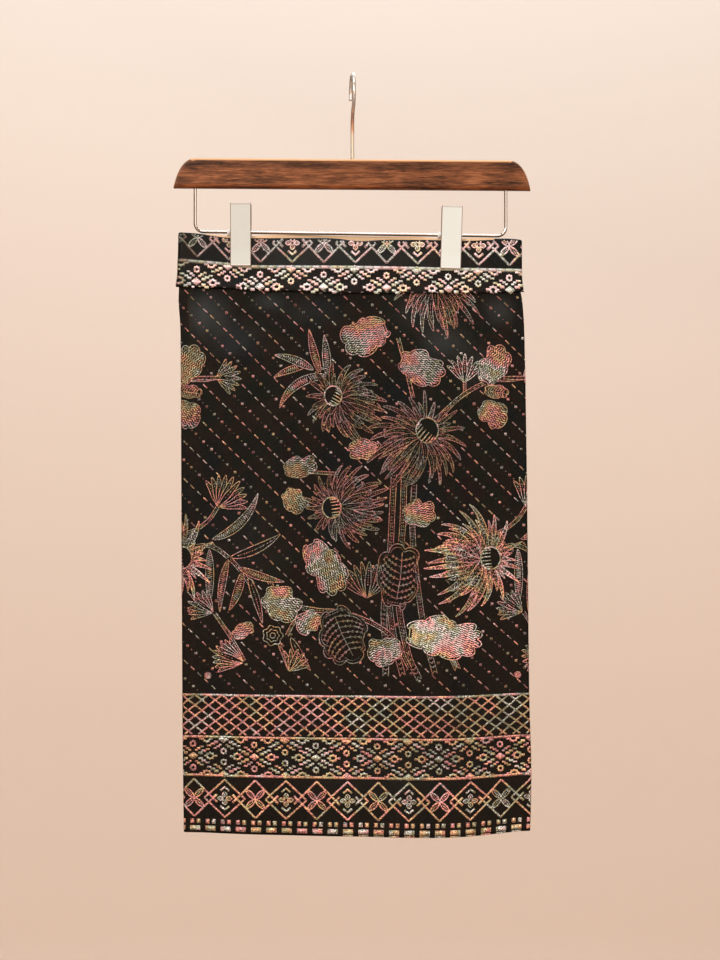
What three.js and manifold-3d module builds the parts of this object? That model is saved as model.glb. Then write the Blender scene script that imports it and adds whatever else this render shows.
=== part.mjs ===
// A pull-on sampin: a flat tube of brocade cloth with a turned waistband,
// hanging from a wooden hanger by two sliding clips.
// Millimetres. +Z is up, +X is the viewer's right, and -Y is the front.
// The origin is the point inside the top of the hook that rests on a rail.
import * as THREE from "three";
import { mergeVertices } from "three/addons/utils/BufferGeometryUtils.js";
import Module from "manifold-3d";

const wasm = await Module();
wasm.setup();

// ---------------------------------------------------------------- cloth sizes

const CLOTH = 1.2; // wall of the body
const BAND = 2.0; // wall of the waistband, a strip folded double
const TAPE = 1.0; // wall of the waist facing
const SEAM = 0.3; // gap between neighbouring pieces
const FACING_DEPTH = 38; // how far the facing reaches down inside the back

// The body's outline by height. left and right are where the side folds lie,
// and fold is the outer radius of the cloth as it turns round a side fold.
const BODY_OUTLINE = [
  { z: -150, left: -171.5, right: 167.2, fold: 2.0 },
  { z: -185, left: -172.5, right: 167.4, fold: 2.0 },
  { z: -212, left: -173.5, right: 167.8, fold: 2.0 },
  { z: -226, left: -173.8, right: 170.0, fold: 2.1 },
  { z: -254, left: -172.0, right: 171.9, fold: 2.4 },
  { z: -394, left: -171.2, right: 174.4, fold: 3.2 },
  { z: -619, left: -170.1, right: 176.9, fold: 4.1 },
  { z: -694, left: -169.4, right: 178.9, fold: 4.4 },
  { z: -765, left: -168.4, right: 177.6, fold: 4.6 },
];

// Heights of the cloth's edges across its width. front_top and back_top are the
// waistband's upper fold, band_low its lower fold, and the hems are the body's.
const EDGES = [
  { x: -175, front_top: -156.6, back_top: -156.6, band_low: -211.0, front_hem: -755.6, back_hem: -755.4 },
  { x: -160, front_top: -157.6, back_top: -157.3, band_low: -211.5, front_hem: -755.6, back_hem: -754.9 },
  { x: -148, front_top: -159.4, back_top: -158.7, band_low: -211.9, front_hem: -755.7, back_hem: -754.6 },
  { x: -124, front_top: -162.3, back_top: -160.3, band_low: -212.9, front_hem: -756.3, back_hem: -754.7 },
  { x: -99, front_top: -162.4, back_top: -160.3, band_low: -213.8, front_hem: -756.8, back_hem: -755.2 },
  { x: -82, front_top: -162.4, back_top: -159.2, band_low: -214.6, front_hem: -757.2, back_hem: -755.7 },
  { x: -52, front_top: -162.4, back_top: -159.2, band_low: -215.8, front_hem: -758.0, back_hem: -756.6 },
  { x: -17, front_top: -163.0, back_top: -160.0, band_low: -217.3, front_hem: -758.8, back_hem: -757.8 },
  { x: 6, front_top: -165.7, back_top: -160.5, band_low: -217.6, front_hem: -759.2, back_hem: -758.2 },
  { x: 33, front_top: -164.3, back_top: -160.9, band_low: -217.6, front_hem: -760.0, back_hem: -758.4 },
  { x: 70, front_top: -164.1, back_top: -161.3, band_low: -217.6, front_hem: -760.4, back_hem: -758.2 },
  { x: 86, front_top: -164.3, back_top: -162.9, band_low: -217.6, front_hem: -760.2, back_hem: -757.9 },
  { x: 112, front_top: -165.1, back_top: -162.9, band_low: -217.6, front_hem: -759.2, back_hem: -757.0 },
  { x: 147, front_top: -163.9, back_top: -162.5, band_low: -216.8, front_hem: -756.4, back_hem: -755.2 },
  { x: 165, front_top: -163.2, back_top: -162.8, band_low: -216.0, front_hem: -754.6, back_hem: -754.4 },
  { x: 178, front_top: -165.2, back_top: -165.2, band_low: -215.6, front_hem: -754.3, back_hem: -754.3 },
];

// The two clips, by where each one sits on the wire and how far it leans.
const CLIPS = [
  { name: "clip_left", x: -111.5, lean: 0.0 },
  { name: "clip_right", x: 98.9, lean: 1.6 },
];
const PINCH_HALF_WIDTH = 11.5; // the cloth is pressed flat this far from a clip's middle
const PINCH_END = -199; // and down to this height
const PINCH_FADE = 120; // below which it opens again over this height

// How the two sides stand apart. Each bends away from the flat of the side folds.
const BELLY = 7.0; // at the hem, over most of the width
const BELLY_START = -205; // from which it grows evenly
const BELLY_FULL = -756;
const MOUTH = 3.6; // halfway between the clips, at the waist
const MOUTH_FADE = 190; // the height over which that dies out below the waist

// The largest soft folds: a ridge has a positive depth and a trough a negative one.
const FOLDS = [
  { side: "front", top_x: -62, hem_x: -98, start_z: -215, full_z: -430, half_width: 44, depth: 1.7 },
  { side: "front", top_x: 10, hem_x: 22, start_z: -270, full_z: -560, half_width: 40, depth: -1.5 },
  { side: "front", top_x: 62, hem_x: 104, start_z: -230, full_z: -470, half_width: 46, depth: 2.1 },
  { side: "front", top_x: 132, hem_x: 146, start_z: -520, full_z: -690, half_width: 24, depth: -1.6 },
  { side: "back", top_x: -70, hem_x: -92, start_z: -240, full_z: -480, half_width: 50, depth: 1.9 },
  { side: "back", top_x: -8, hem_x: -22, start_z: -250, full_z: -600, half_width: 42, depth: -1.3 },
  { side: "back", top_x: 70, hem_x: 88, start_z: -215, full_z: -440, half_width: 48, depth: 1.5 },
];
const BAND_FLARE = 1.1; // how far the waistband's lower fold stands off the body

// ---------------------------------------------------------------- hanger sizes

const BAR = { middle_x: -0.4, bottom_z: -113.5, length: 356.6, height: 29.7, thickness: 13, rounding: 2.5, lean: 0.42 };
const BAR_END = { low_x: 3.2, low_z: 0.53, high_x: 9, high_z: 0.94, top_x: 20 }; // the end's curve
const HOOK = { wire: 1.8, inside: 17, tip_angle: 15.5, bend_angle: 60, turn: 5.3, sides: 10 };
const BAR_WIRE = { wire: 1.55, left_x: -157.2, right_x: 153.3, left_z: -155.8, right_z: -160.0, corner: 8.5, sides: 10 };
const BORE_DEPTH = 12; // how far the hook and the wire's legs go into the bar
const CLEARANCE = 0.3; // between metal parts
const JAW = { width: 20.6, up: 28.6, down: 33.8, plate: 1.6, open: 10, knee: 7.6, grip: 14 };
const EAR = { wall: 1.2, up: 7, around: 2.9, corner: 1.2 }; // each jaw's two ears, which ride on the wire
const STOP = { outer: 3.4, length: 3 }; // the plastic ring on the wire beside each clip
const SPRING = { wall: 1.1, length: 9 };

const degrees = THREE.MathUtils.degToRad;

const MATERIALS = {
  cloth: new THREE.MeshStandardMaterial({ color: 0x1b1817, roughness: 0.55, metalness: 0 }),
  band: new THREE.MeshStandardMaterial({ color: 0x24201f, roughness: 0.55, metalness: 0 }),
  tape: new THREE.MeshStandardMaterial({ color: 0xe3b27c, roughness: 0.7, metalness: 0 }),
  wood: new THREE.MeshStandardMaterial({ color: 0x7a3d24, roughness: 0.4, metalness: 0 }),
  wire: new THREE.MeshStandardMaterial({ color: 0xe8c9b4, roughness: 0.2, metalness: 1 }),
  jaw: new THREE.MeshStandardMaterial({ color: 0xe6e2da, roughness: 0.35, metalness: 0.6 }),
  stop: new THREE.MeshStandardMaterial({ color: 0xf4f2ee, roughness: 0.5, metalness: 0 }),
};

// ---------------------------------------------------------------- curves and tables

// A smooth curve through one column of a table, as a cubic whose slope at each
// row is that between the rows beside it.
function along(rows, key, column, at) {
  const last = rows.length - 1;
  const falling = rows[0][key] > rows[last][key];
  const past = (row) => (falling ? at < row[key] : at > row[key]);
  let i = 0;
  while (i < last - 1 && past(rows[i + 1])) i += 1;
  const slope = (j) => {
    const a = rows[Math.max(j - 1, 0)];
    const b = rows[Math.min(j + 1, last)];
    return (b[column] - a[column]) / (b[key] - a[key]);
  };
  const span = rows[i + 1][key] - rows[i][key];
  const t = THREE.MathUtils.clamp((at - rows[i][key]) / span, 0, 1);
  const rise = rows[i + 1][column] - rows[i][column];
  const ease = t * t * (3 - 2 * t);
  const bend = t * (1 - t) * (1 - t) * slope(i) - t * t * (1 - t) * slope(i + 1);
  return rows[i][column] + rise * ease + span * bend;
}

const ramp = (from, to, at) => THREE.MathUtils.smoothstep((at - from) / (to - from), 0, 1);
const bell = (t) => (Math.abs(t) < 1 ? Math.cos((t * Math.PI) / 2) ** 2 : 0);

// ---------------------------------------------------------------- the cloth's surface

// 1 where a clip presses the layers flat, falling to 0 beside and below it.
function pinch(x, z) {
  const below = Math.max(0, PINCH_END - z);
  const reach = 18 + 0.25 * below;
  const fade = 1 - ramp(0, PINCH_FADE, below);
  const beside = CLIPS.map((clip) => {
    const off = Math.max(0, Math.abs(x - clip.x) - PINCH_HALF_WIDTH);
    return bell(off / reach);
  });
  return fade * Math.max(...beside);
}

// How far a side stands out from the flat of the side folds.
function puff(side, x, z) {
  const left = along(BODY_OUTLINE, "z", "left", z);
  const right = along(BODY_OUTLINE, "z", "right", z);
  const offCentre = (2 * x - left - right) / (right - left);
  const rounded = Math.max(0, 1 - offCentre ** 6) ** 2;
  let depth = BELLY * THREE.MathUtils.clamp((z - BELLY_START) / (BELLY_FULL - BELLY_START), 0, 1);
  for (const fold of FOLDS.filter((row) => row.side === side)) {
    const down = THREE.MathUtils.clamp((z + 160) / -600, 0, 1);
    const middle = THREE.MathUtils.lerp(fold.top_x, fold.hem_x, down);
    depth += fold.depth * bell((x - middle) / fold.half_width) * ramp(fold.start_z, fold.full_z, z);
  }
  const betweenClips = (CLIPS[0].x + CLIPS[1].x) / 2;
  const halfSpan = (CLIPS[1].x - CLIPS[0].x) / 2 - PINCH_HALF_WIDTH;
  const mouth = MOUTH * bell((x - betweenClips) / halfSpan) * (1 - ramp(-170, -170 - MOUTH_FADE, z));
  return (Math.max(0, depth) * rounded + mouth) * (1 - pinch(x, z));
}

// A point of the cloth, out millimetres off the body's outer face. A station is
// either an x between the side folds or an angle round one of them.
function clothPoint(side, station, z, out) {
  const left = along(BODY_OUTLINE, "z", "left", z);
  const right = along(BODY_OUTLINE, "z", "right", z);
  const fold = along(BODY_OUTLINE, "z", "fold", z);
  const toBack = side === "front" ? -1 : 1;
  if (station.turn === undefined) {
    const run = { left: left + fold, right: right - fold };
    const x = station.end ? run[station.end] : station.x;
    return [x, toBack * (fold + out + puff(side, x, z)), z];
  }
  const radius = fold + out;
  const reach = radius * Math.cos(station.turn);
  const x = station.end === "left" ? left + fold - reach : right - fold + reach;
  return [x, toBack * Math.max(SEAM / 2, radius * Math.sin(station.turn)), z];
}

// Evenly spaced stations between named places, closer together beside the clips.
function runStations() {
  const outer = 160;
  const places = [-outer];
  for (const clip of CLIPS) places.push(clip.x - PINCH_HALF_WIDTH, clip.x + PINCH_HALF_WIDTH);
  places.push(outer);
  const steps = [4, 2, 13, 2, 4];
  const stations = [{ x: places[0] }];
  steps.forEach((count, i) => {
    for (let k = 1; k <= count; k += 1) {
      stations.push({ x: THREE.MathUtils.lerp(places[i], places[i + 1], k / count) });
    }
  });
  return stations;
}

const TURNS = [0, 30, 60].map(degrees);
const RUN = runStations();
const ALL_ROUND = [
  ...TURNS.map((turn) => ({ end: "left", turn })),
  { end: "left" },
  ...RUN,
  { end: "right" },
  ...TURNS.toReversed().map((turn) => ({ end: "right", turn })),
];

// Joins outlines of equal length into one closed body. An outline is a strip's
// face from one edge to the other and then its back the other way, so the cap at
// each end is a ladder between the two. flipped turns the body's faces over.
function joinOutlines(outlines, flipped = false) {
  const count = outlines[0].length;
  const faces = [];
  const quad = (a, b, c, d) => faces.push(a, b, c, a, c, d);
  for (let i = 0; i < outlines.length - 1; i += 1) {
    for (let j = 0; j < count; j += 1) {
      const [a, b] = [i * count + j, i * count + ((j + 1) % count)];
      quad(a, b, b + count, a + count);
    }
  }
  const last = (outlines.length - 1) * count;
  for (let j = 0; j < count / 2 - 1; j += 1) {
    const [a, b, c, d] = [j, j + 1, count - 2 - j, count - 1 - j];
    quad(d, c, b, a);
    quad(last + a, last + b, last + c, last + d);
  }
  const geometry = new THREE.BufferGeometry();
  geometry.setAttribute("position", new THREE.Float32BufferAttribute(outlines.flat(2), 3));
  geometry.setIndex(flipped ? faces.toReversed() : faces);
  return geometry;
}

// A closed strip of cloth along stations. section gives, for a station's x, the
// points of the strip's face and of its back there, each as a height z and a
// distance out.
function clothStrip(side, stations, section) {
  const outlines = stations.map((station) => {
    const nearX = clothPoint(side, station, -400, 0)[0];
    const { face, back } = section(nearX);
    return [...face, ...back.toReversed()].map(({ z, out }) => clothPoint(side, station, z, out));
  });
  return joinOutlines(outlines, side === "back");
}

const edge = (column, x) => along(EDGES, "x", column, x);

// One side of the body, from inside the waistband's fold down to the hem.
function bodyPanel(side) {
  const rows = [0, 0.03, 0.062, 0.095, 0.135, 0.18, 0.23, 0.29, 0.36, 0.44, 0.52, 0.6, 0.68, 0.76, 0.84, 0.92, 1];
  return clothStrip(side, ALL_ROUND, (x) => {
    const top = edge(`${side}_top`, x) - BAND - SEAM;
    const hem = edge(`${side}_hem`, x);
    const line = (out) => rows.map((down) => ({ z: THREE.MathUtils.lerp(top, hem, down), out }));
    return { face: line(0), back: line(-CLOTH) };
  });
}

// One side of the waistband: it hangs outside the body and folds over its top.
function waistband(side) {
  const rows = [0, 0.32, 0.58, 0.78, 1];
  return clothStrip(side, ALL_ROUND, (x) => {
    const low = edge("band_low", x);
    const top = edge(`${side}_top`, x);
    const line = (end, out) => {
      const hanging = rows.map((down) => {
        const z = THREE.MathUtils.lerp(end, low, down);
        return { z, out: out + BAND_FLARE * ramp(PINCH_END, low, z) };
      });
      return [{ z: end, out: -CLOTH }, ...hanging];
    };
    return { face: line(top, SEAM + BAND), back: line(top - BAND, SEAM) };
  });
}

// The tape inside the back, level with the waistband's fold.
function waistFacing() {
  const stations = RUN.slice(1, -1);
  const out = -CLOTH - SEAM;
  return clothStrip("back", stations, (x) => {
    const top = edge("back_top", x) - SEAM;
    const line = (off) => [0, 0.5, 1].map((down) => ({ z: top - FACING_DEPTH * down, out: off }));
    return { face: line(out), back: line(out - TAPE) };
  });
}

// ---------------------------------------------------------------- joining and cutting

// A geometry's own solid, with the vertices that its faces share merged.
function solidOf(geometry) {
  const bare = new THREE.BufferGeometry();
  bare.setAttribute("position", geometry.getAttribute("position"));
  bare.setIndex(geometry.index);
  const merged = mergeVertices(bare, 1e-4);
  return new wasm.Manifold(
    new wasm.Mesh({
      numProp: 3,
      vertProperties: merged.attributes.position.array,
      triVerts: new Uint32Array(merged.index.array),
    }),
  );
}

function geometryOf(solid) {
  const mesh = solid.getMesh();
  const geometry = new THREE.BufferGeometry();
  geometry.setAttribute("position", new THREE.BufferAttribute(mesh.vertProperties, 3));
  geometry.setIndex(new THREE.BufferAttribute(mesh.triVerts, 1));
  return geometry;
}

const joined = (first, ...others) =>
  geometryOf(others.reduce((solid, other) => solid.add(solidOf(other)), solidOf(first)));
const cut = (from, ...tools) =>
  geometryOf(tools.reduce((solid, tool) => solid.subtract(solidOf(tool)), solidOf(from)));

// ---------------------------------------------------------------- the hanger

// A round rod whose middle line lies in the plane square to across.
function rod(path, radius, sides, across) {
  const outlines = path.map((point, i) => {
    const before = path[Math.max(i - 1, 0)];
    const after = path[Math.min(i + 1, path.length - 1)];
    const tangent = after.clone().sub(before).normalize();
    const normal = tangent.clone().cross(across);
    return Array.from({ length: sides }, (_, k) => {
      const angle = (2 * Math.PI * k) / sides;
      const spoke = normal.clone().multiplyScalar(Math.cos(angle)).addScaledVector(across, Math.sin(angle));
      return point.clone().addScaledVector(spoke, radius).toArray();
    });
  });
  return joinOutlines(outlines, true);
}

// Points along an arc in the plane of two unit vectors.
function arc(centre, radius, from, to, steps, first, second) {
  return Array.from({ length: steps + 1 }, (_, k) => {
    const angle = degrees(THREE.MathUtils.lerp(from, to, k / steps));
    const reach = first.clone().multiplyScalar(Math.cos(angle)).addScaledVector(second, Math.sin(angle));
    return centre.clone().addScaledVector(reach, radius);
  });
}

const X = new THREE.Vector3(1, 0, 0);
const Y = new THREE.Vector3(0, 1, 0);
const Z = new THREE.Vector3(0, 0, 1);
const at = (x, y, z) => new THREE.Vector3(x, y, z);

const barTop = BAR.bottom_z + BAR.height;

// The hook: over the rail from the tip behind it, down in front, and back under
// to the shank, whose foot stands in the bar's bore.
function hook() {
  const radius = HOOK.inside + HOOK.wire;
  const bend = degrees(HOOK.bend_angle);
  const under = (radius * Math.cos(bend)) / (1 - Math.cos(bend));
  const centre = at(0, 0, -HOOK.inside);
  const bendCentre = at(0, -under, -HOOK.inside - (radius + under) * Math.sin(bend));
  const over = arc(centre, radius, -HOOK.tip_angle, 180 + HOOK.bend_angle, 16, Y, Z);
  const back = arc(bendCentre, under, HOOK.bend_angle, 0, 5, Y, Z);
  const foot = at(0, 0, barTop - BORE_DEPTH + CLEARANCE);
  return rod([...over, ...back.slice(1), foot], HOOK.wire, HOOK.sides, X);
}

// The wire: both legs stand in bores under the bar.
function barWire() {
  const { left_x: left, right_x: right, left_z: leftZ, right_z: rightZ, corner } = BAR_WIRE;
  const legTop = BAR.bottom_z + BORE_DEPTH - 2 * CLEARANCE;
  const leftCorner = arc(at(left + corner, 0, leftZ + corner), corner, 180, 270, 4, X, Z);
  const rightCorner = arc(at(right - corner, 0, rightZ + corner), corner, 270, 360, 4, X, Z);
  const path = [at(left, 0, legTop), ...leftCorner, ...rightCorner, at(right, 0, legTop)];
  return rod(path, BAR_WIRE.wire, BAR_WIRE.sides, Y);
}

// The wire's height and slope where a clip sits on it.
const wireSlope = Math.atan2(BAR_WIRE.right_z - BAR_WIRE.left_z, BAR_WIRE.right_x - BAR_WIRE.left_x);
const wireHeight = (x) =>
  THREE.MathUtils.mapLinear(x, BAR_WIRE.left_x, BAR_WIRE.right_x, BAR_WIRE.left_z, BAR_WIRE.right_z);

// A bore of a given radius, upright, from z down or up by a length.
function bore(x, z, radius, length, sides = 16) {
  const tool = new THREE.CylinderGeometry(radius, radius, Math.abs(length), sides);
  return tool.rotateX(Math.PI / 2).translate(x, 0, z + length / 2);
}

// The bar's outline: flat below, with both ends curving up to the top.
function barOutline() {
  const half = BAR.length / 2 - BAR.rounding;
  const high = BAR.height - 2 * BAR.rounding;
  const outline = new THREE.Shape();
  outline.moveTo(-half, 0);
  outline.lineTo(half, 0);
  const { low_x: lowX, low_z: lowZ, high_x: highX, high_z: highZ, top_x: topX } = BAR_END;
  outline.bezierCurveTo(half - lowX, lowZ * high, half - highX, highZ * high, half - topX, high);
  outline.lineTo(topX - half, high);
  outline.bezierCurveTo(highX - half, highZ * high, lowX - half, lowZ * high, -half, 0);
  return outline;
}

function woodBar() {
  const solid = new THREE.ExtrudeGeometry(barOutline(), {
    depth: BAR.thickness - 2 * BAR.rounding,
    curveSegments: 8,
    bevelThickness: BAR.rounding,
    bevelSize: BAR.rounding,
    bevelSegments: 3,
  });
  solid.rotateX(Math.PI / 2).rotateY(degrees(BAR.lean));
  solid.translate(BAR.middle_x, BAR.thickness / 2 - BAR.rounding, BAR.bottom_z + BAR.rounding);
  const rim = 4; // each bore's tool starts this far outside the bar
  return cut(
    solid,
    bore(0, barTop + rim, HOOK.wire + CLEARANCE, -BORE_DEPTH - rim),
    bore(BAR_WIRE.left_x, BAR.bottom_z - rim, BAR_WIRE.wire + CLEARANCE, BORE_DEPTH + rim),
    bore(BAR_WIRE.right_x, BAR.bottom_z - rim, BAR_WIRE.wire + CLEARANCE, BORE_DEPTH + rim),
  );
}

// ---------------------------------------------------------------- the clips

// A polygon of [y, z] corners carried from one x to another.
function prism(corners, fromX, toX, hole) {
  const outline = new THREE.Shape(corners.map(([y, z]) => new THREE.Vector2(y, z)));
  if (hole) outline.holes.push(new THREE.Path().absarc(0, 0, hole, 0, 2 * Math.PI));
  const solid = new THREE.ExtrudeGeometry(outline, { depth: toX - fromX, bevelEnabled: false, curveSegments: 8 });
  const turned = new THREE.Matrix4().makeBasis(Y, Z, X);
  return solid.applyMatrix4(turned).translate(fromX, 0, 0);
}

// A jaw as seen from the front: a bent plate, and two ears that the wire passes
// through. The back jaw is the same, turned round, with its ears inside.
function jaw(side) {
  const face = SEAM + BAND + BODY_OUTLINE[0].fold + SEAM; // the gripping face
  const { up, down, plate, open, knee, grip, width } = JAW;
  const outer = [[-open, up], [-knee, 0], [-face - plate, grip - down], [-face - plate, -down]];
  const inner = [[-face, -down], [-face, grip - down], [plate - knee, 0], [plate - open, up]];
  const parts = [prism([...outer, ...inner], -width / 2, width / 2)];
  const inset = side === "front" ? 0 : EAR.wall + CLEARANCE;
  const { around, corner } = EAR;
  const ear = [[plate / 2 - knee, EAR.up], [plate / 2 - knee, -corner], [-corner, -around], [corner, -around]];
  ear.push([around, -corner], [around, corner], [corner, EAR.up]);
  for (const from of [-width / 2 + inset, width / 2 - inset - EAR.wall]) {
    parts.push(prism(ear, from, from + EAR.wall, BAR_WIRE.wire + CLEARANCE));
  }
  const solid = joined(...parts);
  return side === "front" ? solid : solid.rotateZ(Math.PI);
}

// A tube about the wire, from rows of [x, radius] given round its wall.
function turnedPiece(profile) {
  const points = profile.map(([x, radius]) => new THREE.Vector2(radius, x));
  const solid = new THREE.LatheGeometry([...points, points[0]], 14);
  return solid.rotateZ(-Math.PI / 2);
}

// The ring beside the jaws.
function stop() {
  const inner = BAR_WIRE.wire + CLEARANCE;
  const right = -JAW.width / 2 - CLEARANCE;
  const left = right - STOP.length;
  return turnedPiece([
    [left, inner],
    [left, STOP.outer],
    [right, STOP.outer],
    [right, inner],
  ]);
}

function spring() {
  const inner = BAR_WIRE.wire + CLEARANCE;
  const half = SPRING.length / 2;
  return turnedPiece([
    [-half, inner],
    [-half, inner + SPRING.wall],
    [half, inner + SPRING.wall],
    [half, inner],
  ]);
}

// ---------------------------------------------------------------- the assembly

function named(name, geometry, material) {
  const mesh = new THREE.Mesh(geometry, material);
  mesh.name = name;
  return mesh;
}

// One clip: the jaws lean with the cloth, and the stop and spring follow the wire.
function clip(row) {
  const group = new THREE.Group();
  group.position.set(row.x, 0, wireHeight(row.x));
  const jaws = new THREE.Group();
  jaws.rotation.y = degrees(row.lean);
  jaws.add(named(`${row.name}_front_jaw`, jaw("front"), MATERIALS.jaw));
  jaws.add(named(`${row.name}_back_jaw`, jaw("back"), MATERIALS.jaw));
  const slider = new THREE.Group();
  slider.rotation.y = -wireSlope;
  slider.add(named(`${row.name}_stop`, stop(), MATERIALS.stop));
  slider.add(named(`${row.name}_spring`, spring(), MATERIALS.wire));
  group.add(jaws, slider);
  return group;
}

const sampin = new THREE.Group();
sampin.add(named("body_front", bodyPanel("front"), MATERIALS.cloth));
sampin.add(named("body_back", bodyPanel("back"), MATERIALS.cloth));
sampin.add(named("waistband_front", waistband("front"), MATERIALS.band));
sampin.add(named("waistband_back", waistband("back"), MATERIALS.band));
sampin.add(named("waist_facing", waistFacing(), MATERIALS.tape));

const hanger = new THREE.Group();
const hookMesh = named("hook", hook(), MATERIALS.wire);
hookMesh.rotation.z = degrees(HOOK.turn);
hanger.add(hookMesh);
hanger.add(named("wood_bar", woodBar(), MATERIALS.wood));
hanger.add(named("bar_wire", barWire(), MATERIALS.wire));
for (const row of CLIPS) hanger.add(clip(row));

const whole = new THREE.Group();
whole.add(sampin, hanger);

export default whole;
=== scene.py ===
# %% [markdown]
# # A pull-on sampin on its clip hanger
# A sampin is the brocade cloth worn round the hips over Malay dress. This one is sewn into a flat
# tube with a turned waistband, and it hangs by two clips from a wooden bar. Each step below makes
# one piece or one finish, and says what it is and why it is made that way.
# The packed model is the frame that every piece is fitted to, so it is loaded first.

# %% The frame
import math
import bpy
import bmesh
import numpy as np
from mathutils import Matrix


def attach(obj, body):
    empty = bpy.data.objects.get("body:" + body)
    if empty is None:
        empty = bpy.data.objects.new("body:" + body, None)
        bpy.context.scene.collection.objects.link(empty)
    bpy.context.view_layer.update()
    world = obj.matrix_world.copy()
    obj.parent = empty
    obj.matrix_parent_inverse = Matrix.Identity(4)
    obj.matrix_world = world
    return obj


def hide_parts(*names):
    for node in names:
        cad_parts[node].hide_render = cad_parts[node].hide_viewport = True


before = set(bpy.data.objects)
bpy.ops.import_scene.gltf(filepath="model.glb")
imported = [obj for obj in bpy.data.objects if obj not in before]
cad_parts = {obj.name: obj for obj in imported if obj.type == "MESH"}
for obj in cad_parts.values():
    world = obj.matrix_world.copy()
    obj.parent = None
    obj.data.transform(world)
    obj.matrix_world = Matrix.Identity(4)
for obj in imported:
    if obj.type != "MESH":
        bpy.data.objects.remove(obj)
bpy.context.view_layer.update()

MM = 0.001

# %% [markdown]
# ## Where it is seen from
# The camera stands square on to the cloth, level with its middle and 2.6 m away, so that the
# sides stay upright. A long lens does that; a near one would make the hem look wider than it is.

# %% The camera
view = bpy.data.cameras.new("view")
view.sensor_width = 36
view.lens = 36 * 2.6 / 0.96
camera = bpy.data.objects.new("view", view)
camera.location = (0.0076, -2.6, -0.404)
camera.rotation_euler = (math.pi / 2, 0, 0)
bpy.context.collection.objects.link(camera)
bpy.context.scene.camera = camera
bpy.context.scene.view_settings.view_transform = "Standard"
print("lens, mm:", round(view.lens, 1))

# %% [markdown]
# ## Numbers from short tables
# A tailor marks a few measures and joins them by eye. Here each table's column holds such measures
# in millimetres, and a smooth curve goes through them. The curve is a cubic between two rows, and
# its slope at a row is that between the rows on either side, so it never kinks.


# %% Smooth curves through tables
def along(table, column, at):
    """The column's value at places `at`, on cubics joined with equal slopes at each row."""
    key = np.array(table["at"], float)
    value = np.array(table[column], float)
    rise, run = np.diff(value), np.diff(key)
    inner = (value[2:] - value[:-2]) / (key[2:] - key[:-2])
    slope = np.concatenate([[rise[0] / run[0]], inner, [rise[-1] / run[-1]]])
    at = np.asarray(at, float)
    i = np.clip(np.searchsorted(key, at) - 1, 0, len(key) - 2)
    t = np.clip((at - key[i]) / run[i], 0, 1)
    ease = t * t * (3 - 2 * t)
    bend = t * (1 - t) ** 2 * slope[i] - t * t * (1 - t) * slope[i + 1]
    return value[i] + rise[i] * ease + run[i] * bend


def ramp(start, end, at):
    """0 before start and 1 past end, with a smooth S between."""
    t = np.clip((np.asarray(at, float) - start) / (end - start), 0, 1)
    return t * t * (3 - 2 * t)


def bell(t):
    """1 at 0, falling as a squared cosine to 0 at 1 either way."""
    return np.cos(np.clip(t, -1, 1) * math.pi / 2) ** 2


print("a ramp from 0 to 8, at 0, 2, 4, 6 and 8:", ramp(0, 8, [0, 2, 4, 6, 8]).round(2))

# %% [markdown]
# ## The tube of cloth
# The body is one length of cloth turned round into a tube and pressed flat, so its two sides meet
# at rounded side folds. A place on it is given as a weaver would: how far round it lies, from the
# middle of the front, and how far down. One function then turns every such place into a point in
# space, and the cloth, its waistband and each thread that lies on them all use it.

# %% The cloth's measures
CLOTH = 1.2  # wall of the body
BAND = 2.0  # wall of the waistband
SEAM = 0.3  # gap between pieces
TAPE = 1.0  # thickness of the facing
FACING_DEPTH = 38
HALF_ROUND = 175.0  # from the middle of the front to the middle of a side fold
ROUND = 4 * HALF_ROUND
BODY_TOP = 169  # how far down the body starts, inside the waistband
HEM = 760.4  # how far down the lowest part of the hem is
HEM_OPENING = 7.0  # how far each side stands out at the hem
MOUTH_BOW = 3.6  # how far each side bows out between the clips
JAW_FOOT = -199.0  # height of the clips' lower ends

OUTLINE = {
    "at": [-765, -694, -619, -394, -254, -226, -212, -185, -150],
    "left": [-168.4, -169.4, -170.1, -171.2, -172.0, -173.8, -173.5, -172.5, -171.5],
    "right": [177.6, 178.9, 176.9, 174.4, 171.9, 170.0, 167.8, 167.4, 167.2],
    "fold": [4.6, 4.4, 4.1, 3.2, 2.4, 2.1, 2.0, 2.0, 2.0],
}
EDGES = {
    "at": [-175, -160, -148, -124, -99, -82, -52, -17, 6, 33, 70, 86, 112, 147, 165, 178],
    "front_top": [-156.6, -157.6, -159.4, -162.3, -162.4, -162.4, -162.4, -163.0, -165.7, -164.3,
                  -164.1, -164.3, -165.1, -163.9, -163.2, -165.2],
    "back_top": [-156.6, -157.3, -158.7, -160.3, -160.3, -159.2, -159.2, -160.0, -160.5, -160.9,
                 -161.3, -162.9, -162.9, -162.5, -162.8, -165.2],
    "band_low": [-211.0, -211.5, -211.9, -212.9, -213.8, -214.6, -215.8, -217.3, -217.6, -217.6,
                 -217.6, -217.6, -217.6, -216.8, -216.0, -215.6],
    "front_hem": [-755.6, -755.6, -755.7, -756.3, -756.8, -757.2, -758.0, -758.8, -759.2, -760.0,
                  -760.4, -760.2, -759.2, -756.4, -754.6, -754.3],
    "back_hem": [-755.4, -754.9, -754.6, -754.7, -755.2, -755.7, -756.6, -757.8, -758.2, -758.4,
                 -758.2, -757.9, -757.0, -755.2, -754.4, -754.3],
}
CLIPS = {"left": {"x": -111.5, "lean": 0.0}, "right": {"x": 98.9, "lean": 1.6}}
print("cloth", ROUND, "mm round, and", round(HEM - 165, 1), "mm long below its top edge")

# %% [markdown]
# ## How the cloth stands away
# Pressed cloth is never quite flat. The clips pinch the layers together, the mouth bows open
# between them, and the tube opens evenly towards the hem. On that lie a few broad folds and the
# small creases of a cloth that has been packed. Each is a soft ridge or trough in a table row,
# uneven in length, width and depth, because equal ones look like corrugated card.

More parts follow.
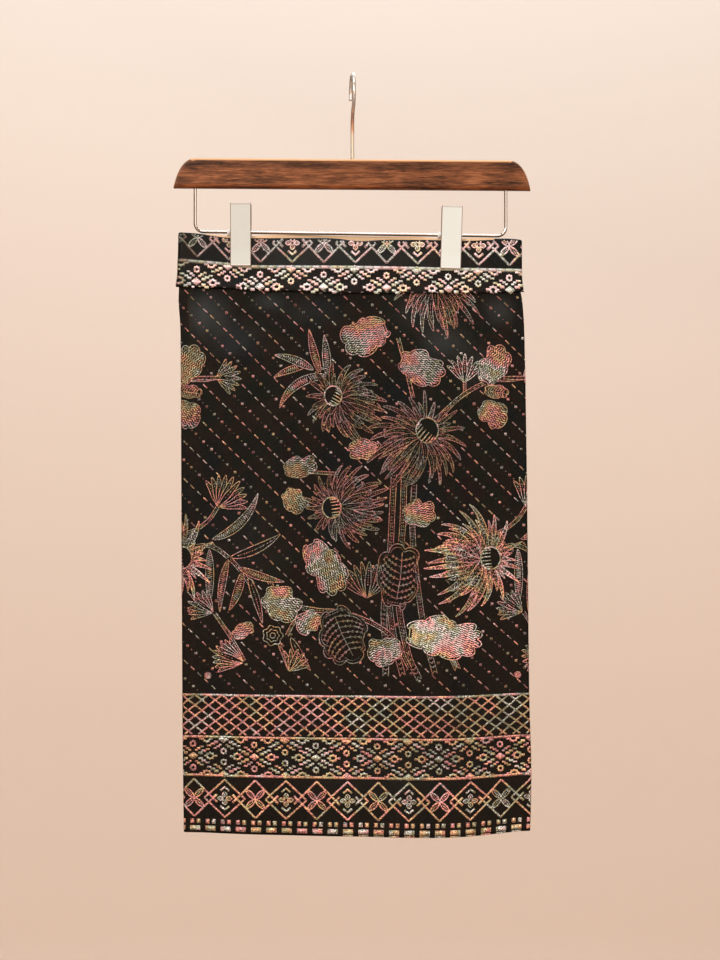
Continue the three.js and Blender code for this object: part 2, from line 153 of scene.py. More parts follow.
# %% Folds and creases
BROAD_FOLDS = [  # -1 front or 1 back, x at the waist and the hem, start, full, half width, depth
    (-1, -62, -98, -215, -430, 44, 1.7),
    (-1, 10, 22, -270, -560, 40, -1.5),
    (-1, 62, 104, -230, -470, 46, 2.1),
    (-1, 132, 146, -520, -690, 24, -1.6),
    (1, -70, -92, -240, -480, 50, 1.9),
    (1, -8, -22, -250, -600, 42, -1.3),
    (1, 70, 88, -215, -440, 48, 1.5),
]
CREASES = [  # -1 front or 1 back, from x and z, to x and z, half width, depth
    (-1, -166, -224, -126, -268, 17, -1.9),
    (-1, -141, -214, -158, -318, 12, 1.2),
    (-1, 138, -222, 164, -272, 15, -1.7),
    (-1, 116, -216, 128, -344, 15, 1.1),
    (-1, -66, -218, -38, -338, 18, -1.0),
    (-1, 34, -218, 14, -300, 15, 0.9),
    (-1, 153, -590, 166, -742, 10, -1.2),
    (-1, 126, -628, 137, -764, 10, 1.0),
    (-1, -128, -540, -149, -752, 17, -0.9),
    (-1, 60, -420, 92, -540, 22, -0.8),
    (-1, -96, -330, -70, -470, 24, -0.8),
    (1, -158, -220, -120, -276, 16, -1.7),
    (1, 150, -220, 118, -296, 18, -1.8),
    (1, 92, -216, 104, -350, 14, 1.0),
    (1, -44, -218, -60, -322, 17, 0.9),
    (1, 20, -220, 40, -410, 20, -1.0),
    (1, -150, -560, -140, -752, 12, -1.0),
    (1, 128, -600, 150, -760, 14, 1.1),
]
print(len(BROAD_FOLDS), "broad folds and", len(CREASES), "creases")


# %% How far a side stands out
def pinch(x, z):
    """1 where a clip presses the layers flat, falling to 0 beside it and below it."""
    below = np.maximum(0, JAW_FOOT - z)
    reach = 18 + 0.25 * below
    beside = [bell(np.maximum(0, abs(x - clip["x"]) - 11.5) / reach) for clip in CLIPS.values()]
    return (1 - ramp(0, 120, below)) * np.maximum(*beside)


def stand_off(side, x, share, z):
    """How far a side stands out: an even opening and folds, plus creases, plus the bow of the mouth.

    `share` is how far across it lies, -1 and 1 at the side folds, where folds and creases die out.
    """
    opening = HEM_OPENING * np.clip((-205 - z) / 551, 0, 1)
    for which, top_x, hem_x, start, full, width, depth in BROAD_FOLDS:
        middle = top_x + (hem_x - top_x) * np.clip((-160 - z) / 600, 0, 1)
        opening = opening + (side == which) * depth * bell((x - middle) / width) * ramp(start, full, z)
    mouth = MOUTH_BOW * bell((x + 6.3) / 93.7) * (1 - ramp(-170, -360, z))
    creases = 0
    for which, x1, z1, x2, z2, width, depth in CREASES:
        long_x, long_z = x2 - x1, z2 - z1
        t = np.clip(((x - x1) * long_x + (z - z1) * long_z) / (long_x**2 + long_z**2), 0, 1)
        off = np.hypot(x - x1 - t * long_x, z - z1 - t * long_z)
        creases = creases + (side == which) * depth * bell(off / width) * ramp(-209, -232, z)
    rounded = np.maximum(0, 1 - share**6) ** 2
    return ((np.maximum(0, opening) + creases) * rounded + mouth) * (1 - pinch(x, z))


print("pressed together at a clip and 100 mm below it:", pinch(-111.5, np.array([-199, -299])).round(2))


# %% A place on the tube
def across(u):
    """u millimetres round the tube, as a distance across, and -1 on the front or 1 on the back."""
    w = (np.asarray(u, float) + HALF_ROUND) % ROUND - HALF_ROUND
    back = w > HALF_ROUND
    return np.where(back, 2 * HALF_ROUND - w, w), np.where(back, 1.0, -1.0)


def ring(u, z, out):
    """A flat run at the front, a half circle round each side fold, and the back run, in metres."""
    s, side = across(u)
    left, right, fold = (along(OUTLINE, name, z) for name in ("left", "right", "fold"))
    middle, flat = (left + right) / 2, (right - left) / 2 - fold
    s = s / HALF_ROUND * (flat + fold * math.pi / 2)
    run = np.clip(s, -flat, flat)
    turn = np.clip((abs(s) - flat) / fold, 0, math.pi / 2)
    x = middle + run + np.sign(s) * (fold + out) * np.sin(turn)
    y = side * ((fold + out) * np.cos(turn) + stand_off(side, middle + run, run / flat, z))
    return np.stack([x, y, z + 0 * x], -1) * MM


def edge(name, u, z):
    """A row of EDGES at u, where z says roughly how high, since the tube's middle wanders."""
    s, side = across(u)
    x = s + (along(OUTLINE, "left", z) + along(OUTLINE, "right", z)) / 2
    if name in EDGES:
        return along(EDGES, name, x)
    return np.where(side > 0, along(EDGES, "back_" + name, x), along(EDGES, "front_" + name, x))


def sag(u, v):
    """The woven rows lie level at the waist and follow the hem's curve lower down."""
    return (edge("hem", u, -756.0 + 0 * u) + HEM) * np.clip((v - 215) / (HEM - 215), 0, 1) ** 2.4


def on_body(u, v, out):
    """The point at u round and v down the body, out millimetres off its face."""
    return ring(u, sag(u, v) - v, out)


print("front middle at 400 down:", on_body(np.zeros(1), np.full(1, 400.0), 0.0)[0].round(4))

# %% [markdown]
# ## From points to a piece
# Every piece below is a grid of points, so one helper numbers the grid's faces and another makes
# the object. Each object stays at the origin with its place in its mesh, rides on the one body,
# and is shaded smooth.


# %% Grids
def grid(rows, columns, ring_rows=False, ring_columns=False):
    """Four-sided faces of a grid of rows x columns points, closed on itself either way if asked."""
    i = np.arange(rows if ring_rows else rows - 1)[:, None]
    j = np.arange(columns if ring_columns else columns - 1)[None, :]
    down, right = (i + 1) % rows, (j + 1) % columns
    corners = [i * columns + j, down * columns + j, down * columns + right, i * columns + right]
    return np.stack([c + 0 * i + 0 * j for c in corners], -1).reshape(-1, 4)


def end_caps(rows, columns):
    """The faces that close a grid's open ends: its first row, and its last the other way round."""
    last_row = range((rows - 1) * columns, rows * columns)
    return [list(range(columns)), list(last_row)[::-1]]


open_faces, closed_faces = grid(3, 4), grid(3, 4, True, True)
print("3 x 4 points make", len(open_faces), "faces, or", len(closed_faces), "on a closed ring")


# %% Pieces
def piece(name, points, faces, finish):
    """A mesh object from points and a list of faces, riding on the body, with its finish."""
    mesh = bpy.data.meshes.new(name)
    mesh.from_pydata(np.asarray(points).reshape(-1, 3).tolist(), [], [list(f) for f in faces])
    mesh.polygons.foreach_set("use_smooth", [True] * len(mesh.polygons))
    mesh.materials.append(finish)
    made = bpy.data.objects.new(name, mesh)
    bpy.context.collection.objects.link(made)
    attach(made, "root")
    mesh.calc_loop_triangles()
    print(name, len(mesh.loop_triangles), "triangles")
    return made


def outward_faces(made):
    """Merges doubled points and turns all faces outwards, which a mirrored shape needs."""
    work = bmesh.new()
    work.from_mesh(made.data)
    bmesh.ops.remove_doubles(work, verts=work.verts, dist=1e-6)
    bmesh.ops.recalc_face_normals(work, faces=work.faces)
    work.to_mesh(made.data)
    work.free()


def mark(made, key, values):
    """Writes one number on each point of a piece, for its finish to read."""
    values = np.asarray(values, np.float32).ravel()
    made.data.attributes.new(key, "FLOAT", "POINT").data.foreach_set("value", values)


# %% [markdown]
# ## Writing a finish
# A finish is a small sum: stripes times a tint, plus some grain. Blender writes sums as Math
# nodes, which are hard to read, so a value here is wrapped in a class that turns Python's own
# + - * / into those nodes. Everything else comes from one method, `add`.


# %% A value in a finish
class Value:
    """A socket of a finish; arithmetic on it adds Math nodes."""

    def __init__(self, finish, socket):
        self.finish, self.socket = finish, socket

    def math(self, operation, *others):
        """This value and others in one Math node."""
        inputs = dict(enumerate([self, *others]))
        return self.finish.add("ShaderNodeMath", {"operation": operation}, inputs)

    def math_after(self, operation, first):
        """The same with a plain number first, as in 1 - mask."""
        return self.finish.add("ShaderNodeMath", {"operation": operation}, {0: first, 1: self})

    def __add__(self, other):
        return self.math("ADD", other)

    def __sub__(self, other):
        return self.math("SUBTRACT", other)

    def __rsub__(self, other):
        return self.math_after("SUBTRACT", other)

    def __mul__(self, other):
        return self.math("MULTIPLY", other)

    def __truediv__(self, other):
        return self.math("DIVIDE", other)

    def __rtruediv__(self, other):
        return self.math_after("DIVIDE", other)

    __radd__, __rmul__ = __add__, __mul__


print("with a plain number first:", [name for name in vars(Value) if name.startswith("__r")])


# %% A finish under construction
class Finish:
    """A material under construction, ending in one Principled surface."""

    def __init__(self, name):
        self.material = bpy.data.materials.new(name)
        self.material.use_nodes = True
        self.tree = self.material.node_tree
        self.tree.nodes.clear()

    def add(self, kind, settings={}, inputs={}, output=0):
        """Adds a node: its settings first, then the values or links of its sockets."""
        node = self.tree.nodes.new(kind)
        for name, value in settings.items():
            if name == "stops":
                self.set_stops(node.color_ramp, value)
            else:
                setattr(node, name, value)
        for key, value in inputs.items():
            if isinstance(value, Value):
                self.tree.links.new(value.socket, node.inputs[key])
            else:
                node.inputs[key].default_value = value
        return Value(self, node.outputs[output])

    def set_stops(self, color_ramp, stops):
        """Gives a ramp its stops, each a place and a colour."""
        elements = color_ramp.elements
        while len(elements) > 1:
            elements.remove(elements[-1])
        for i, (at, colour) in enumerate(stops):
            stop = elements[0] if i == 0 else elements.new(at)
            stop.position = at
            stop.color = (*colour, 1)

    def place(self, scale=(1, 1, 1), turn=(0, 0, 0)):
        """Object coordinates in millimetres, times scale and turned."""
        here = self.add("ShaderNodeTexCoord", {}, {}, "Object")
        size = [1000 * s for s in scale]
        return self.add("ShaderNodeMapping", {}, {"Vector": here, "Rotation": turn, "Scale": size})

    def toward(self, way):
        """How far a point lies in a direction, in millimetres: x times its x, plus y and z alike."""
        inputs = {0: self.place(), 1: way}
        return self.add("ShaderNodeVectorMath", {"operation": "DOT_PRODUCT"}, inputs, "Value")

    def noise(self, place, scale=1.0, detail=2.0, rough=0.5):
        """A soft random value, 0.5 in the middle; `place` says how long and wide its patches are."""
        inputs = {"Vector": place, "Scale": scale, "Detail": detail, "Roughness": rough}
        return self.add("ShaderNodeTexNoise", {}, inputs)

    def colours(self, at, stops):
        """A colour between the stops, for a value from 0 to 1."""
        return self.add("ShaderNodeValToRGB", {"stops": stops}, {0: at})

    def mix(self, share, first, second, how="MIX"):
        """The first colour, going over to the second as the share goes from 0 to 1."""
        settings = {"data_type": "RGBA", "blend_type": how}
        return self.add("ShaderNodeMix", settings, {0: share, 6: first, 7: second}, 2)

    def read(self, key):
        """The number that `mark` wrote on the piece's points, 0 where there is none."""
        return self.add("ShaderNodeAttribute", {"attribute_name": key}, {}, "Fac")

    def bump(self, height, distance, strength=1.0):
        """Small relief of a value, as deep as a distance in metres."""
        inputs = {"Strength": strength, "Distance": distance, "Height": height}
        return self.add("ShaderNodeBump", {}, inputs)

    def done(self, **sockets):
        """Ends the finish with a Principled surface; a socket's spaces are written as _."""
        inputs = {name.replace("_", " "): value for name, value in sockets.items()}
        surface = self.add("ShaderNodeBsdfPrincipled", {}, inputs)
        self.add_output(surface)
        return self.material

    def add_output(self, surface):
        """Links a surface to the material's end."""
        end = self.tree.nodes.new("ShaderNodeOutputMaterial")
        self.tree.links.new(surface.socket, end.inputs["Surface"])


print("a finish can be written with + - * / and", [n for n in vars(Finish) if n[0] != "_"])


# %% [markdown]
# ## Black satin
# The ground of the brocade is a black satin. Close to, it is a fine steep twill; from a few steps
# away it is soft black, faintly brown, green or blue in patches, because the coloured metal weft
# lies just under it. A wave gives the twill's ribs, and broad noise the faint patches. Where it
# turns grey there is painted sheen: the shell's points say where, as `glint`, and there the coat
# rises and the colour goes grey-blue. Lower down a gold weft runs under the ground and warms it,
# and at the left fold a painted warm reflection, marked on the shell's points, turns it brown.


# %% The satin ground
def satin_finish(name):
    """Tint patches averaged with slub streaks, plus grain; then painted sheen and painted reflection.
    """
    finish = Finish(name)
    patch = finish.noise(finish.place((0.021, 0.3, 0.017)), 1.0, 2.0)
    tint = finish.colours(patch, [
        (0.30, (0.0006, 0.0070, 0.0098)), (0.41, (0.0034, 0.0042, 0.0034)),
        (0.50, (0.0145, 0.0062, 0.0030)), (0.59, (0.0018, 0.0072, 0.0030)),
        (0.71, (0.0130, 0.0032, 0.0048)),
    ])
    lower = (finish.toward((0, 0, -1)) - 380) / 260  # 0 at 380 mm down, 1 at 640
    lower = lower.math("MAXIMUM", 0).math("MINIMUM", 1)
    tint = finish.mix(lower * (patch * 0.9 + 0.25), tint, (0.0165, 0.0100, 0.0060, 1))
    slub = finish.noise(finish.place((0.16, 1.0, 2.4)), 1.0, 3.0)
    streak = finish.colours(slub, [(0.3, (0.001, 0.001, 0.001)), (0.8, (0.008, 0.0075, 0.007))])
    dark = finish.mix(0.5, tint, streak)
    grain = finish.noise(finish.place((0.6, 0.8, 0.8)), 1.0, 2.0, 0.7)
    grey = finish.colours(grain, [(0.38, (0, 0, 0)), (0.72, (0.011, 0.0095, 0.008))])
    dark = finish.mix(1.0, dark, grey, "ADD")
    glint = finish.read("glint")
    # painted sheen: where glint is, the colour goes grey-blue
    dark = finish.mix(glint * 0.8, dark, (0.003, 0.0125, 0.0145, 1))
    # painted reflection: at the left fold the colour goes warm brown
    dark = finish.mix(finish.read("painted_fold_reflection"), dark, (0.040, 0.0165, 0.0075, 1))
    twill = finish.add(
        "ShaderNodeTexWave", {"wave_type": "BANDS", "bands_direction": "X"},
        {"Vector": finish.place((1, 1, 1), (0, math.radians(32), 0)), "Scale": 0.42, "Distortion": 0.6},
    )
    height = twill * 0.7 + slub * 0.6
    return finish.done(
        Base_Color=dark,
        Roughness=slub * 0.16 + 0.42,
        Specular_IOR_Level=0.09,
        # painted sheen: the coat rises where glint is
        Coat_Weight=glint * (slub * 0.8 + 0.6),
        Coat_Roughness=0.45,
        Coat_Tint=(0.86, 0.95, 1.0, 1),
        Normal=finish.bump(height, 0.00012, 0.35),
    )


SATIN = satin_finish("black_satin")
print("finish:", SATIN.name)

# %% [markdown]
# ## Rainbow metal thread
# The pattern is woven with a flat metal-wrapped weft dyed in short lengths, so one flower runs
# from pink through gold and grey-green to silver. Each motif carries two numbers on its points:
# `tone`, where in that run of colours it lies, and `shine`, how bright it is, which in places also
# holds painted shade and painted light. Three noises then move the tone: in patches as wide as a
# petal, from row to row of the weft, and in fine specks.

# %% The thread's finish
THREAD_RUN = [
    (0.00, (0.81, 0.335, 0.30)), (0.13, (0.85, 0.41, 0.25)), (0.25, (0.70, 0.51, 0.27)),
    (0.36, (0.37, 0.39, 0.20)), (0.48, (0.34, 0.39, 0.35)), (0.61, (0.66, 0.66, 0.62)),
    (0.75, (0.78, 0.53, 0.53)), (0.88, (0.73, 0.27, 0.29)), (1.00, (0.81, 0.335, 0.30)),
]
PALE_RUN = [
    (0.00, (0.90, 0.54, 0.56)), (0.16, (0.93, 0.62, 0.48)), (0.28, (0.88, 0.80, 0.52)),
    (0.40, (0.60, 0.68, 0.48)), (0.52, (0.58, 0.66, 0.64)), (0.64, (0.86, 0.86, 0.86)),
    (0.78, (0.92, 0.74, 0.77)), (1.00, (0.90, 0.54, 0.56)),
]


def thread_finish(name, lift, run, speckle, streak=1.3, patchy=2.6):
    """The run of colours at tone plus noise, times shine; it takes speckles and streaks of light."""
    finish = Finish(name)
    tone, shine = finish.read("tone"), finish.read("shine")
    patch = finish.noise(finish.place((0.035, 0.2, 0.035)), 1.0, 2.0)
    weft = finish.noise(finish.place((0.16, 1.0, 0.75)), 1.0, 2.0, 0.6)
    speck = finish.noise(finish.place((0.75, 0.75, 0.95)), 1.0, 1.0)
    at = (tone + patch * patchy + weft * 0.6 + speck * 0.9 - (patchy / 2 + 0.75)).math("FRACT")
    colour = finish.colours(at, run)
    level = (speck - 0.5) * speckle + 0.68 + (weft - 0.5) * streak
    level = level.math("MAXIMUM", 0.22) * shine * lift
    bright = finish.add("ShaderNodeVectorMath", {"operation": "SCALE"}, {0: colour, "Scale": level})
    yarn = finish.noise(finish.place((1.1, 1.0, 2.2)), 1.0, 2.0)
    return finish.done(
        Base_Color=bright,
        Metallic=0.30,
        Roughness=yarn * 0.2 + 0.30,
        Normal=finish.bump(yarn, 0.0002, 0.5),
    )


THREAD = thread_finish("metal_thread", 1.5, THREAD_RUN, 3.6)
BORDER_THREAD = thread_finish("border_metal_thread", 1.56, THREAD_RUN, 3.4, 1.3, 2.1)
BAND_THREAD = thread_finish("band_metal_thread", 1.55, PALE_RUN, 2.2)
LINE_THREAD = thread_finish("line_metal_thread", 1.45, PALE_RUN, 0.7, 0.5)
print("finishes:", [one.name for one in (THREAD, BORDER_THREAD, BAND_THREAD, LINE_THREAD)])

# %% [markdown]
# ## The body
# The shell is one closed skin: down the outer face, round the hem, and up the inner face. Its
# columns stand closer together at the side folds, where the cloth turns on a radius of a few
# millimetres.

# %% The body's shell
flat_part = np.linspace(-164, 164, 96)
fold_part = np.linspace(164, 186, 24)[1:-1]
half_tube = np.concatenate([flat_part, fold_part])
COLUMNS = np.concatenate([half_tube, half_tube + 2 * HALF_ROUND])

outer = np.linspace(BODY_TOP, HEM, 150)
inner = np.linspace(HEM, BODY_TOP, 60)
downs = np.concatenate([outer, inner])
outs = np.concatenate([0 * outer, 0 * inner - 0.9])  # the shell is 0.9 mm thick
body_points = on_body(COLUMNS[None, :] + 0 * downs[:, None], downs[:, None], outs[:, None])
body = piece("body", body_points, grid(len(downs), len(COLUMNS), True, True), SATIN)
# painted sheen: each row is a spot where the satin is coloured and coated as if lit
GLINTS = [  # across, down, half width, half height, how strong; a stretch where the satin turns grey
    (-146, 238, 34, 30, 0.85), (-122, 262, 46, 26, 0.35), (92, 266, 34, 24, 0.75),
    (66, 236, 40, 30, 0.30), (150, 234, 22, 22, 0.70), (126, 292, 30, 36, 0.30),
    (-40, 236, 50, 22, 0.22), (-104, 470, 60, 70, 0.12), (20, 700, 150, 60, 0.16),
    (-82, 226, 26, 13, 0.55), (206, 240, 30, 34, 0.60), (300, 262, 50, 30, 0.40),
    (420, 250, 36, 28, 0.60),
]
glint = 0 * body_points[..., 0]
for u, v, wide, tall, strength in GLINTS:
    glint = glint + strength * bell((COLUMNS[None, :] - u) / wide) * bell((downs[:, None] - v) / tall)
mark(body, "glint", glint)
# painted reflection: near the left fold the satin is coloured browner
near_left_fold = bell((COLUMNS[None, :] + HALF_ROUND) / 17)
mark(body, "painted_fold_reflection", near_left_fold * (0.5 + 0.3 * np.sin(downs[:, None] / 31)))
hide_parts("body_front", "body_back")

# %% [markdown]
# ## The waistband
# A strip of the same cloth, folded double, is sewn round the top and turned over it. Its face
# goes round the top, hangs a little proud of the body, and turns under at its lower fold. One
# cross-section says that: rows of how far down the strip, an extra height, and how far out.


# %% The waistband's shell
TOP_ROUND = 1.4  # radius of the turn over the top edge


def band_edges(u):
    """The heights of the waistband's top edge and lower fold, u millimetres round."""
    return edge("top", u, -162.0 + 0 * u), edge("band_low", u, -214.0 + 0 * u)


def band_flare(z, low):
    """The lower fold stands 1.1 mm off the body, less towards the clips' level."""
    return 1.1 * ramp(0, 1, (JAW_FOOT - z) / (JAW_FOOT - low))


def on_band(u, z, out):
    """The point at u round and height z on the waistband's face, out millimetres off it."""
    return ring(u, z, SEAM + BAND + out + band_flare(z, band_edges(u)[1]))


arc = np.linspace(0, math.pi / 2, 6)
half = np.linspace(0, math.pi, 8)[1:-1]
hang = np.linspace(0.03, 0.985, 26)
down_strip = np.concatenate([[0, 0], 0 * arc, hang, 1 + 0 * half, hang[::-1], [0, 0]])
extra = np.concatenate([
    [0, 0], -TOP_ROUND * (1 - np.cos(arc)), 0 * hang,
    0.9 - 0.9 * np.sin(half), 0 * hang, [-BAND, -BAND],
])
out_of_face = np.concatenate([
    [-CLOTH - SEAM - BAND, -BAND], -TOP_ROUND + TOP_ROUND * np.sin(arc), 0 * hang,
    -1 + np.cos(half), 0 * hang - BAND, [-BAND, -CLOTH - SEAM - BAND],
])
u_band = COLUMNS[None, :] + 0 * down_strip[:, None]
band_top, band_low = band_edges(u_band)
band_z = band_top + (band_low - band_top) * down_strip[:, None] + extra[:, None]
band_points = on_band(u_band, band_z, out_of_face[:, None])
band_faces = grid(len(down_strip), len(COLUMNS), True, True)
waistband = piece("waistband", band_points, band_faces, SATIN)
# painted sheen on the waistband's ground: a little all round, more on its upper half across the front
mark(waistband, "glint", 0.30 * bell((u_band + 10) / 175) * (down_strip[:, None] < 0.55) + 0.10)
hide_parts("waistband_front", "waistband_back")

# %% [markdown]
# ## The facing
# A plain tan tape is sewn inside the back of the waist. Only its top shows, over the front's
# edge, as a warm line. It is a thin strip inside the back run of the same tube.


# %% The tan tape
def tape_finish(name):
    """Tan, a little paler along the ribs and where the weft shows, with a soft sheen."""
    finish = Finish(name)
    weft = finish.noise(finish.place((0.5, 1.0, 3.2)), 1.0, 3.0)
    ribs = {"Vector": finish.place(), "Scale": 0.4}
    ribs = finish.add("ShaderNodeTexWave", {"bands_direction": "X"}, ribs)
    tans = [(0.2, (0.90, 0.57, 0.31)), (0.8, (1.0, 0.72, 0.46))]
    colour = finish.colours(weft * 0.7 + ribs * 0.3, tans)
    return finish.done(
        Base_Color=colour,
        Roughness=0.62,
        Sheen_Weight=0.4,
        Normal=finish.bump(ribs + weft, 0.00015, 0.5),
    )


TAN = tape_finish("tan_tape")
TAPE_COLUMNS = 90
TAPE_ROWS = 20  # half down its face and half up its back
u_tape = HALF_ROUND + np.linspace(27, 323, TAPE_COLUMNS)  # from near one side fold to the other
drop = np.linspace(0, FACING_DEPTH, TAPE_ROWS // 2)
drop = np.concatenate([drop, drop[::-1]])
tape_out = -CLOTH - SEAM - np.repeat([0.0, TAPE], TAPE_ROWS // 2)
u_tape = u_tape[None, :] + 0 * drop[:, None]
tape_z = edge("back_top", u_tape, -160.0 + 0 * u_tape) + 0.4 - drop[:, None]
tape_points = ring(u_tape, tape_z, tape_out[:, None])
tape_faces = [*grid(TAPE_ROWS, TAPE_COLUMNS, True, False)]
first_end = np.arange(TAPE_ROWS) * TAPE_COLUMNS
ends = [first_end.tolist(), (first_end[::-1] + TAPE_COLUMNS - 1).tolist()]
facing = piece("waist_facing_tape", tape_points, [*tape_faces, *ends], TAN)
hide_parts("waist_facing")

# %% [markdown]
# ## Laying thread
# Woven pattern stands a hair above its ground. Painting it would be flat, so each float of thread
# is a low ridge of its own: a path across the cloth with a width at each point, and a three-sided
# closed section, its crest a quarter of a millimetre up. A path with a width that swells and
# shrinks also makes petals, dots, squares and bars, so the whole pattern is one kind of shape.


# %% Strokes
def stroke(points, width=1.0, tone=0.0, shine=1.0, step=3.0):
    """A path with a width at each point, filled in so that no two points are over `step` apart."""
    points = np.asarray(points, float)
    width = np.zeros(len(points)) + width
    far = np.concatenate([[0], np.cumsum(np.hypot(*np.diff(points, axis=0).T))])
    at = np.union1d(far, np.linspace(0, far[-1], max(2, int(np.ceil(far[-1] / step)) + 1)))
    at = at[np.concatenate([[True], np.diff(at) > 1e-4])]
    path = np.stack([np.interp(at, far, points[:, 0]), np.interp(at, far, points[:, 1])], -1)
    return path, np.interp(at, far, width), tone, shine


def finer(one):
    """A stroke that nears a side fold gets a point at every millimetre; others stay as they are."""
    path, width, tone, shine = one
    if abs(across(path[:, 0])[0]).max() < 160:
        return one
    return stroke(path, width, tone, shine, 1.0)


print("a stroke 10 mm long has", len(stroke([(0, 0), (10, 0)])[0]), "points")


# %% Ridges along the strokes
def lay(name, strokes, place, finish, low=0.02, crest=0.27):
    """All strokes as one piece of closed three-sided ridges, placed on the cloth by `place`."""
    strokes = [finer(one) for one in strokes]
    counts = np.array([len(s[0]) for s in strokes])
    points = np.concatenate([s[0] for s in strokes])
    half_width = np.concatenate([s[1] for s in strokes]) / 2
    last = np.cumsum(counts) - 1
    first = last - counts + 1
    index = np.arange(len(points))
    before, after = index - 1, index + 1
    before[first], after[last] = first, last
    along_path = points[after] - points[before]
    along_path /= np.maximum(np.hypot(*along_path.T), 1e-9)[:, None]
    aside = np.stack([-along_path[:, 1], along_path[:, 0]], -1) * half_width[:, None]
    section = np.stack([points + aside, points, points - aside], 1)
    out = np.array([low, crest, low])[None, :] + 0 * section[..., 0]
    vertices = place(section[..., 0], section[..., 1], out)
    here = np.setdiff1d(index, last)[:, None] * 3
    sides = [
        np.concatenate([here + k, here + 3 + k, here + 3 + (k + 1) % 3, here + (k + 1) % 3], 1)
        for k in range(3)
    ]
    first_caps = np.stack([first * 3, first * 3 + 1, first * 3 + 2], 1)
    last_caps = np.stack([last * 3 + 2, last * 3 + 1, last * 3], 1)
    faces = [row for block in [*sides, first_caps, last_caps] for row in block.tolist()]
    made = piece(name, vertices, faces, finish)
    mark(made, "tone", np.repeat([s[2] for s in strokes], counts).repeat(3))
    mark(made, "shine", np.repeat([s[3] for s in strokes], counts).repeat(3))
    return made


def spun(points, turn, by=(0, 0)):
    """Points turned by an angle about the origin and moved."""
    c, s = math.cos(turn), math.sin(turn)
    return points @ np.array([[c, s], [-s, c]]) + by


def moved(strokes, by, turn=0.0):
    """Strokes turned by degrees about the origin and carried to a place."""
    return [(spun(p, math.radians(turn), by), w, t, b) for p, w, t, b in strokes]


print("(1, 0) turned by 90 degrees:", spun(np.array([1.0, 0.0]), math.pi / 2).round(3))

# %% [markdown]
# ## A drawing with things in front
# Where a petal lies over a leaf, the leaf's lines stop at the petal's edge. So motifs are drawn
# from the front one to the back one, each leaves its outline behind as a cover, and whatever comes
# later is left out where a cover is. The test for that counts how often a line from the point
# crosses the cover's edges.


# %% Covers
def inside(points, polygon):
    """True for points in a closed outline: a line to the right crosses it an odd number of times."""
    a, b = polygon, np.roll(polygon, -1, axis=0)
    x, y = points[:, :1], points[:, 1:]
    straddles = (a[:, 1] > y) != (b[:, 1] > y)
    rise = np.where(b[:, 1] == a[:, 1], 1e-9, b[:, 1] - a[:, 1])
    hits = straddles & (x < a[:, 0] + (y - a[:, 1]) * (b[:, 0] - a[:, 0]) / rise)
    return hits.sum(1) % 2 == 1


def kept_runs(one, keep):
    """The stretches of a stroke where keep is true, as strokes."""
    path, width, tone, shine = one
    changes = np.flatnonzero(np.diff(np.concatenate([[False], keep, [False]]).astype(int)))
    runs = [(a, b) for a, b in zip(changes[::2], changes[1::2]) if b - a > 1]
    return [(path[a:b], width[a:b], tone, shine) for a, b in runs]


class Drawing:
    """Strokes on the flat cloth, each left out where an earlier cover lies over it."""

    def __init__(self):
        self.strokes, self.covers, self.boxes = [], [], np.zeros((0, 4))

    def hidden(self, points):
        """True for the points that lie in a cover; only covers whose boxes come near are tried."""
        low, high = points.min(0), points.max(0)
        near = np.flatnonzero((self.boxes[:, 0] < high[0]) & (self.boxes[:, 2] > low[0])
                              & (self.boxes[:, 1] < high[1]) & (self.boxes[:, 3] > low[1]))
        under = np.zeros(len(points), bool)
        for k in near:
            under |= inside(points, self.covers[k])
        return under

    def draw(self, strokes, covers=(), whole=False):
        """Adds what shows of the strokes, or only unhidden whole ones, and then their covers."""
        for one in strokes:
            under = self.hidden(one[0])
            if whole and not under.any():
                self.strokes.append(one)
            elif not whole:
                self.strokes += kept_runs(one, ~under)
        for cover in covers:
            self.covers.append(cover)
            self.boxes = np.vstack([self.boxes, [*cover.min(0), *cover.max(0)]])


unit_square = np.array([(0, 0), (1, 0), (1, 1), (0, 1)], float)
print("inside a unit square:", inside(np.array([(0.5, 0.5), (1.5, 0.5)]), unit_square))

# %% [markdown]
# ## The motifs
# The cloth shows ordinary garden motifs: many-petalled flowers with a seed head, lobed leaves
# filled with wavy lines, slender leaves, fan-shaped buds and double-lined stems. Each kind is one
# function with its own formula, drawn about the origin at its real size.


# %% Paths and outlines
def closed(outline):
    """The outline with its first point once more at the end."""
    return np.concatenate([outline, outline[:1]])


def blade(angle, length, half_width):
    """A middle line whose even steps follow the angles, its half widths, and the outline round it."""
    steps = np.stack([np.cos(angle), np.sin(angle)], -1) * length / (len(angle) - 1)
    middle = np.cumsum(steps, axis=0) - steps
    aside = np.stack([-np.sin(angle), np.cos(angle)], -1) * half_width[:, None]
    return middle, aside, np.concatenate([middle + aside, (middle - aside)[::-1]])


def smooth_path(points, count=40):
    """A curve through the points: each coordinate follows a cubic table of its own."""
    points = np.asarray(points, float)
    at = np.arange(len(points))
    t = np.linspace(0, len(points) - 1, count)
    return np.stack([along({"at": at, "p": points[:, k]}, "p", t) for k in (0, 1)], -1)


def both_sides(path, width):
    """A path's two parallels, half a width away, and the unit step along it."""
    way = np.gradient(path, axis=0)
    way /= np.hypot(*way.T)[:, None]
    aside = np.stack([-way[:, 1], way[:, 0]], -1) * width / 2
    return path + aside, path - aside, way


def rows_at(path, where):
    """The points of a path at whole or broken row numbers."""
    return np.stack([np.interp(where, np.arange(len(path)), path[:, k]) for k in (0, 1)], -1)


def beads(path, every, width, tone, shine):
    """A dotted line: a short stroke at every few millimetres of the path."""
    close = stroke(path, 1.0, 0, 0, every / 2)[0]
    return [stroke(close[j : j + 2], width, tone, shine, 9) for j in range(1, len(close) - 1, 2)]


print("a dotted line 12 mm long has", len(beads([(0, 0), (12, 0)], 2.4, 1, 0, 0)), "dots")


